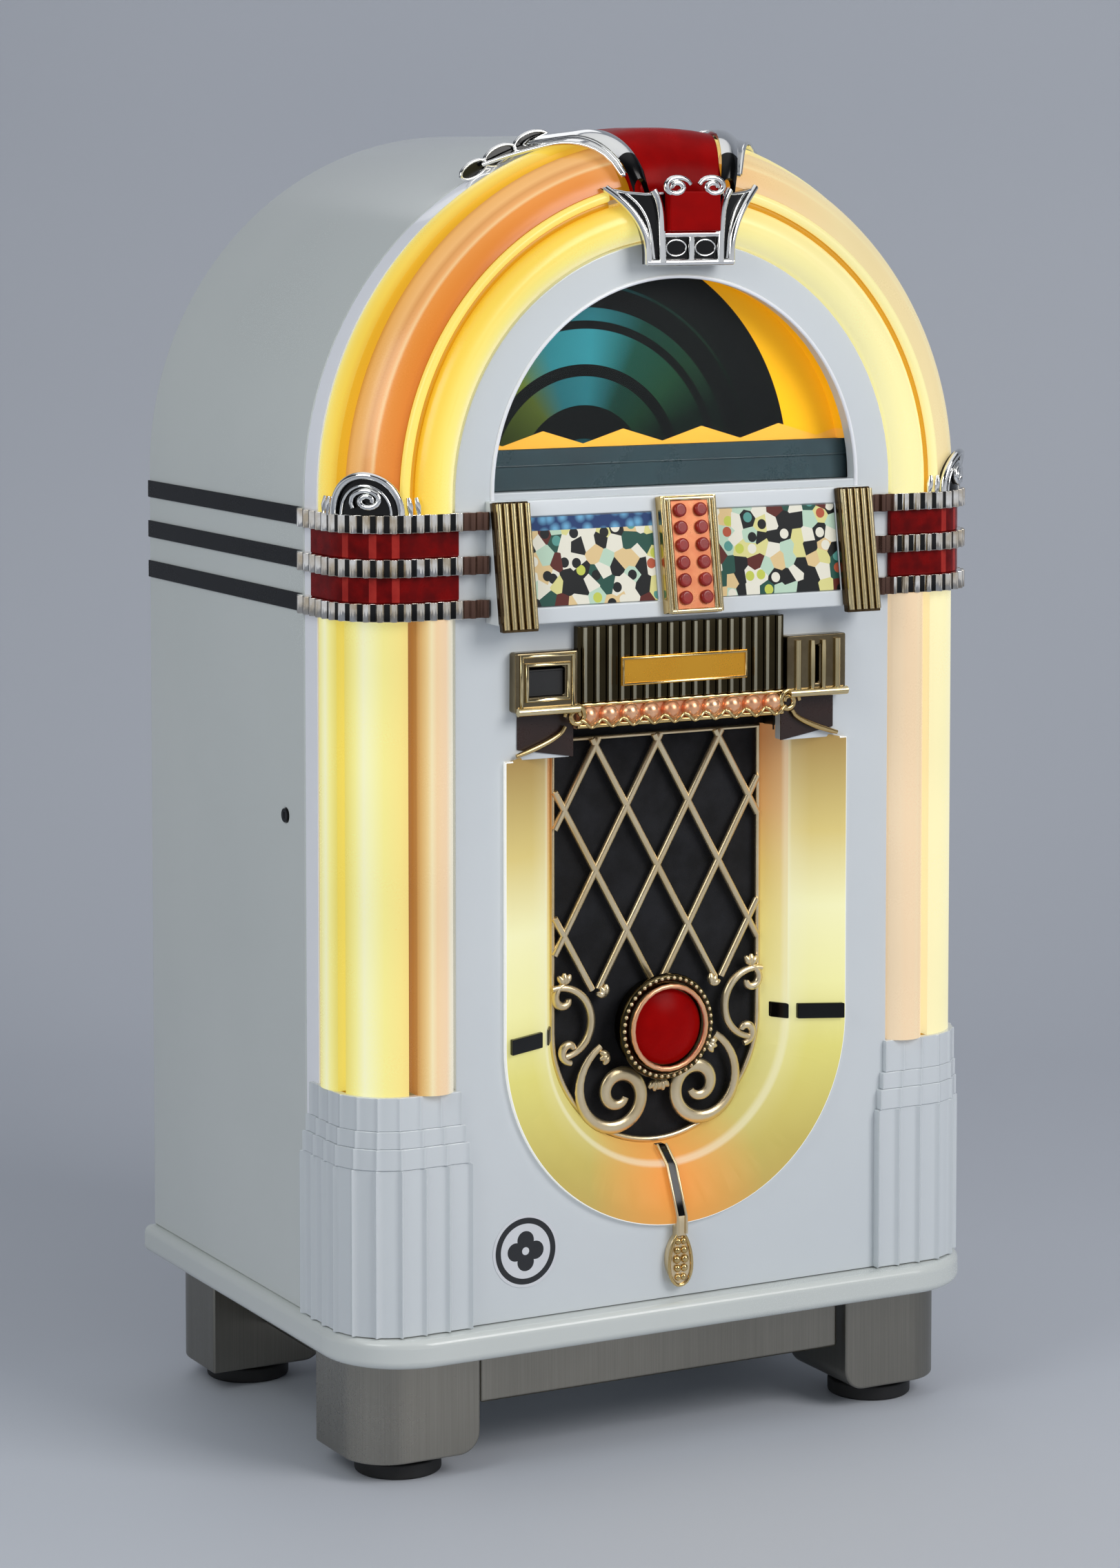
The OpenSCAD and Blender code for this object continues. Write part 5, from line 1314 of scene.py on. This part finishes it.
cloth_front, cloth_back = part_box("grille_cloth")
cloth_half = cloth_back.x
cloth_black = finish("cloth_black", "#0e0f16", "#08080c", 30, 1400, (0.75, 0.9), bump=0.6)
speaker_cloth = mapped_grid(28, 60, cloth_place, 0.0008, cloth_black)
speaker_cloth.name = "speaker_cloth"
fit(speaker_cloth, "cloth", "grille_cloth")
pale_gold = finish("pale_gold", "#eedcb8", "#e0caa0", 20, 500, (0.28, 0.36), Metallic=0.9)
lattice_y = front + 0.050
lattice_wide = 0.082
lattice_tall = 0.146
lattice_knot = 0.676
lattice_low = 0.530
lattice_high = 0.830
lattice_side = 0.137
lattice_routes = []
for start in range(-4, 5):
    for lean in (-1, 1):
        route = []
        for step in range(-60, 61):
            x = start * lattice_wide + lean * step / 60 * 3 * lattice_wide
            z = lattice_knot + step / 60 * 3 * lattice_tall
            if abs(x) < lattice_side and lattice_low < z < lattice_high:
                route.append(Vector((x, lattice_y - 0.002, z)))
        if len(route) > 2:
            lattice_routes.append(route)
edge_bow = [pi * i / 40 for i in range(41)]
edge_route = [Vector((lattice_side, lattice_y, lattice_high)),
              *[on_grille(lattice_side * cos(a), -lattice_side * sin(a)) for a in edge_bow],
              Vector((-lattice_side, lattice_y, lattice_high))]
scroll_proud = 0.006
lower_scroll = spiral(-0.053, -0.077, 0.062, 0.0110, 112, 690, 58)
side_scroll = spiral(-0.130, 0.012, 0.042, 0.040, 104, -84, 30)
upper_tip = spiral(-0.124, 0.040, 0.017, 0.005, 96, 360, 18)
lower_tip = spiral(-0.117, -0.020, 0.015, 0.005, -84, -340, 18)
leaf_places = [(-0.070, 0.040, 128), (-0.066, -0.030, 200), (-0.124, 0.058, 95), (-0.004, -0.066, 262)]
leaf_step = 0.0032
leaf_routes = []
for leaf_x, leaf_z, leaf_angle in leaf_places:
    for turn in (-38, 0, 38):
        way_x = leaf_step * cos(radians(leaf_angle + turn))
        way_z = leaf_step * sin(radians(leaf_angle + turn))
        leaf_routes.append([on_grille(leaf_x + i * way_x, leaf_z + i * way_z, 0.007) for i in range(5)])
thick_scrolls = bars([lower_scroll], 0.0088, pale_gold, 0.5)
for corner in thick_scrolls.data.vertices:
    corner.co.y = ease(lattice_y - scroll_proud, corner.co.y, 0.55)
seat_reach = 0.0558
seat_tall = 0.0255
jewel_rim = 0.0485
bead_ring = 0.0575
bead_count = 44
seat_disc = cut_plate([(seat_reach * c, seat_reach * s) for c, s in circle], on_grille, (0, -seat_tall, 0))
coat(soften(seat_disc, 0.002, 2), dark_bronze)
rim_circle = [on_grille(jewel_rim * c, jewel_rim * s, 0.033) for c, s in circle]
seat_circle = [on_grille(bead_ring * c, bead_ring * s, 0.024) for c, s in circle]
bead_turns = [2 * pi * i / bead_count for i in range(bead_count)]
bead_places = [on_grille(bead_ring * cos(a), bead_ring * sin(a), 0.029) for a in bead_turns]
jewel_beads = [bead(place, 0.0026, 8, 6, pale_gold) for place in bead_places]
grille = joined(
    "grille_casting", seat_disc, bars(lattice_routes, 0.0045, pale_gold),
    bars([edge_route], 0.0034, pale_gold, closed=True), both_sides(thick_scrolls),
    both_sides(bars([side_scroll, upper_tip, lower_tip], 0.0052, pale_gold, 0.7)),
    both_sides(bars(leaf_routes, 0.0046, pale_gold, 0.4)),
    bars([rim_circle], 0.0030, rose_gold, closed=True),
    bars([seat_circle], 0.0050, dark_bronze, closed=True), *jewel_beads)
fit(grille, "gold", "grille_lattice")
drop_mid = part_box("pendant")[0].z + 0.033
drop_face = front - 0.0095
stem_half = 0.0058
stem_bend = [(0.0355, -0.141), (0.0120, -0.160), (-0.0127, -0.216), (-0.0129, -0.236)]
drop = dressed("leaf_drop", "pendant", 0.0016, 3, pale_gold, black_enamel)
paint(drop, 1, lambda face: face.center.z > grille_centre - light_outer and abs(face.normal.x) < 0.5)
# The pale bars along both edges of the black stem are painted highlights.
stem_highlight_routes = [[Vector((x, front + back, grille_centre + z)) for back, z in stem_bend]
               for x in (-stem_half, stem_half)]
drop_circle = [Vector((0.0145 * c * (1 - 0.25 * s), drop_face, drop_mid + 0.0310 * s)) for c, s in circle]
drop_beads = []
for row in range(-2, 3):
    for column in (-1, 1):
        bead_x = column * (0.0052 - 0.0008 * abs(row))
        drop_beads.append(bead((bead_x, drop_face, drop_mid + 0.0105 * row), 0.0050 - 0.0004 * abs(row),
                               12, 8, gold))
leaf_drop = joined("leaf_drop", drop, bars(stem_highlight_routes, 0.0017, pale_gold),
                   bars([drop_circle], 0.0020, gold, closed=True), *drop_beads)
fit(leaf_drop, "gold", "pendant")


# Badge
# A round decal low on the left of the door: a plain ring and a four-leaf figure of this model's own, in
# dark grey on white film.
badge_x = -0.198
badge_z = 0.256
badge_radius = 0.042
leaf_out = 0.0125
leaf_radius = 0.0106
eye_radius = 0.0045
ring_radius = 0.0350
ring_half = 0.0034
badge_film = finish("badge_film", "#e2e4e8", "#dcdee4", 9, 400, (0.2, 0.3))
film = Shade(badge_film.node_tree)
film_x, _, film_z = film.axes(film.place((badge_x, 0.0, badge_z)))
fold_x = film.maths("ABSOLUTE", film_x)
fold_z = film.maths("ABSOLUTE", film_z)
leaf_near = film.maths("MINIMUM", film.distance(fold_x, fold_z, (leaf_out, 0.0)),
                       film.distance(fold_x, fold_z, (0.0, leaf_out)))
leaf_mask = film.maths("LESS_THAN", leaf_near, leaf_radius)
badge_out = film.distance(fold_x, fold_z, (0.0, 0.0))
eye_mask = film.maths("GREATER_THAN", badge_out, eye_radius)
ring_near = film.maths("ABSOLUTE", film.maths("SUBTRACT", badge_out, ring_radius))
ring_mask = film.maths("LESS_THAN", ring_near, ring_half)
badge_mask = film.maths("MAXIMUM", ring_mask, film.maths("MULTIPLY", leaf_mask, eye_mask))
film.feed(film.blend(badge_mask, film.fed("Base Color"), "#24262a"), "Base Color")
badge = cut_plate([(badge_radius * c, badge_radius * s) for c, s in circle],
                  lambda x, z: Vector((badge_x + x, front - 0.0001, badge_z + z)), (0, -0.0005, 0))
badge.name = "badge"
fit(coat(badge, badge_film), "stripe_black")
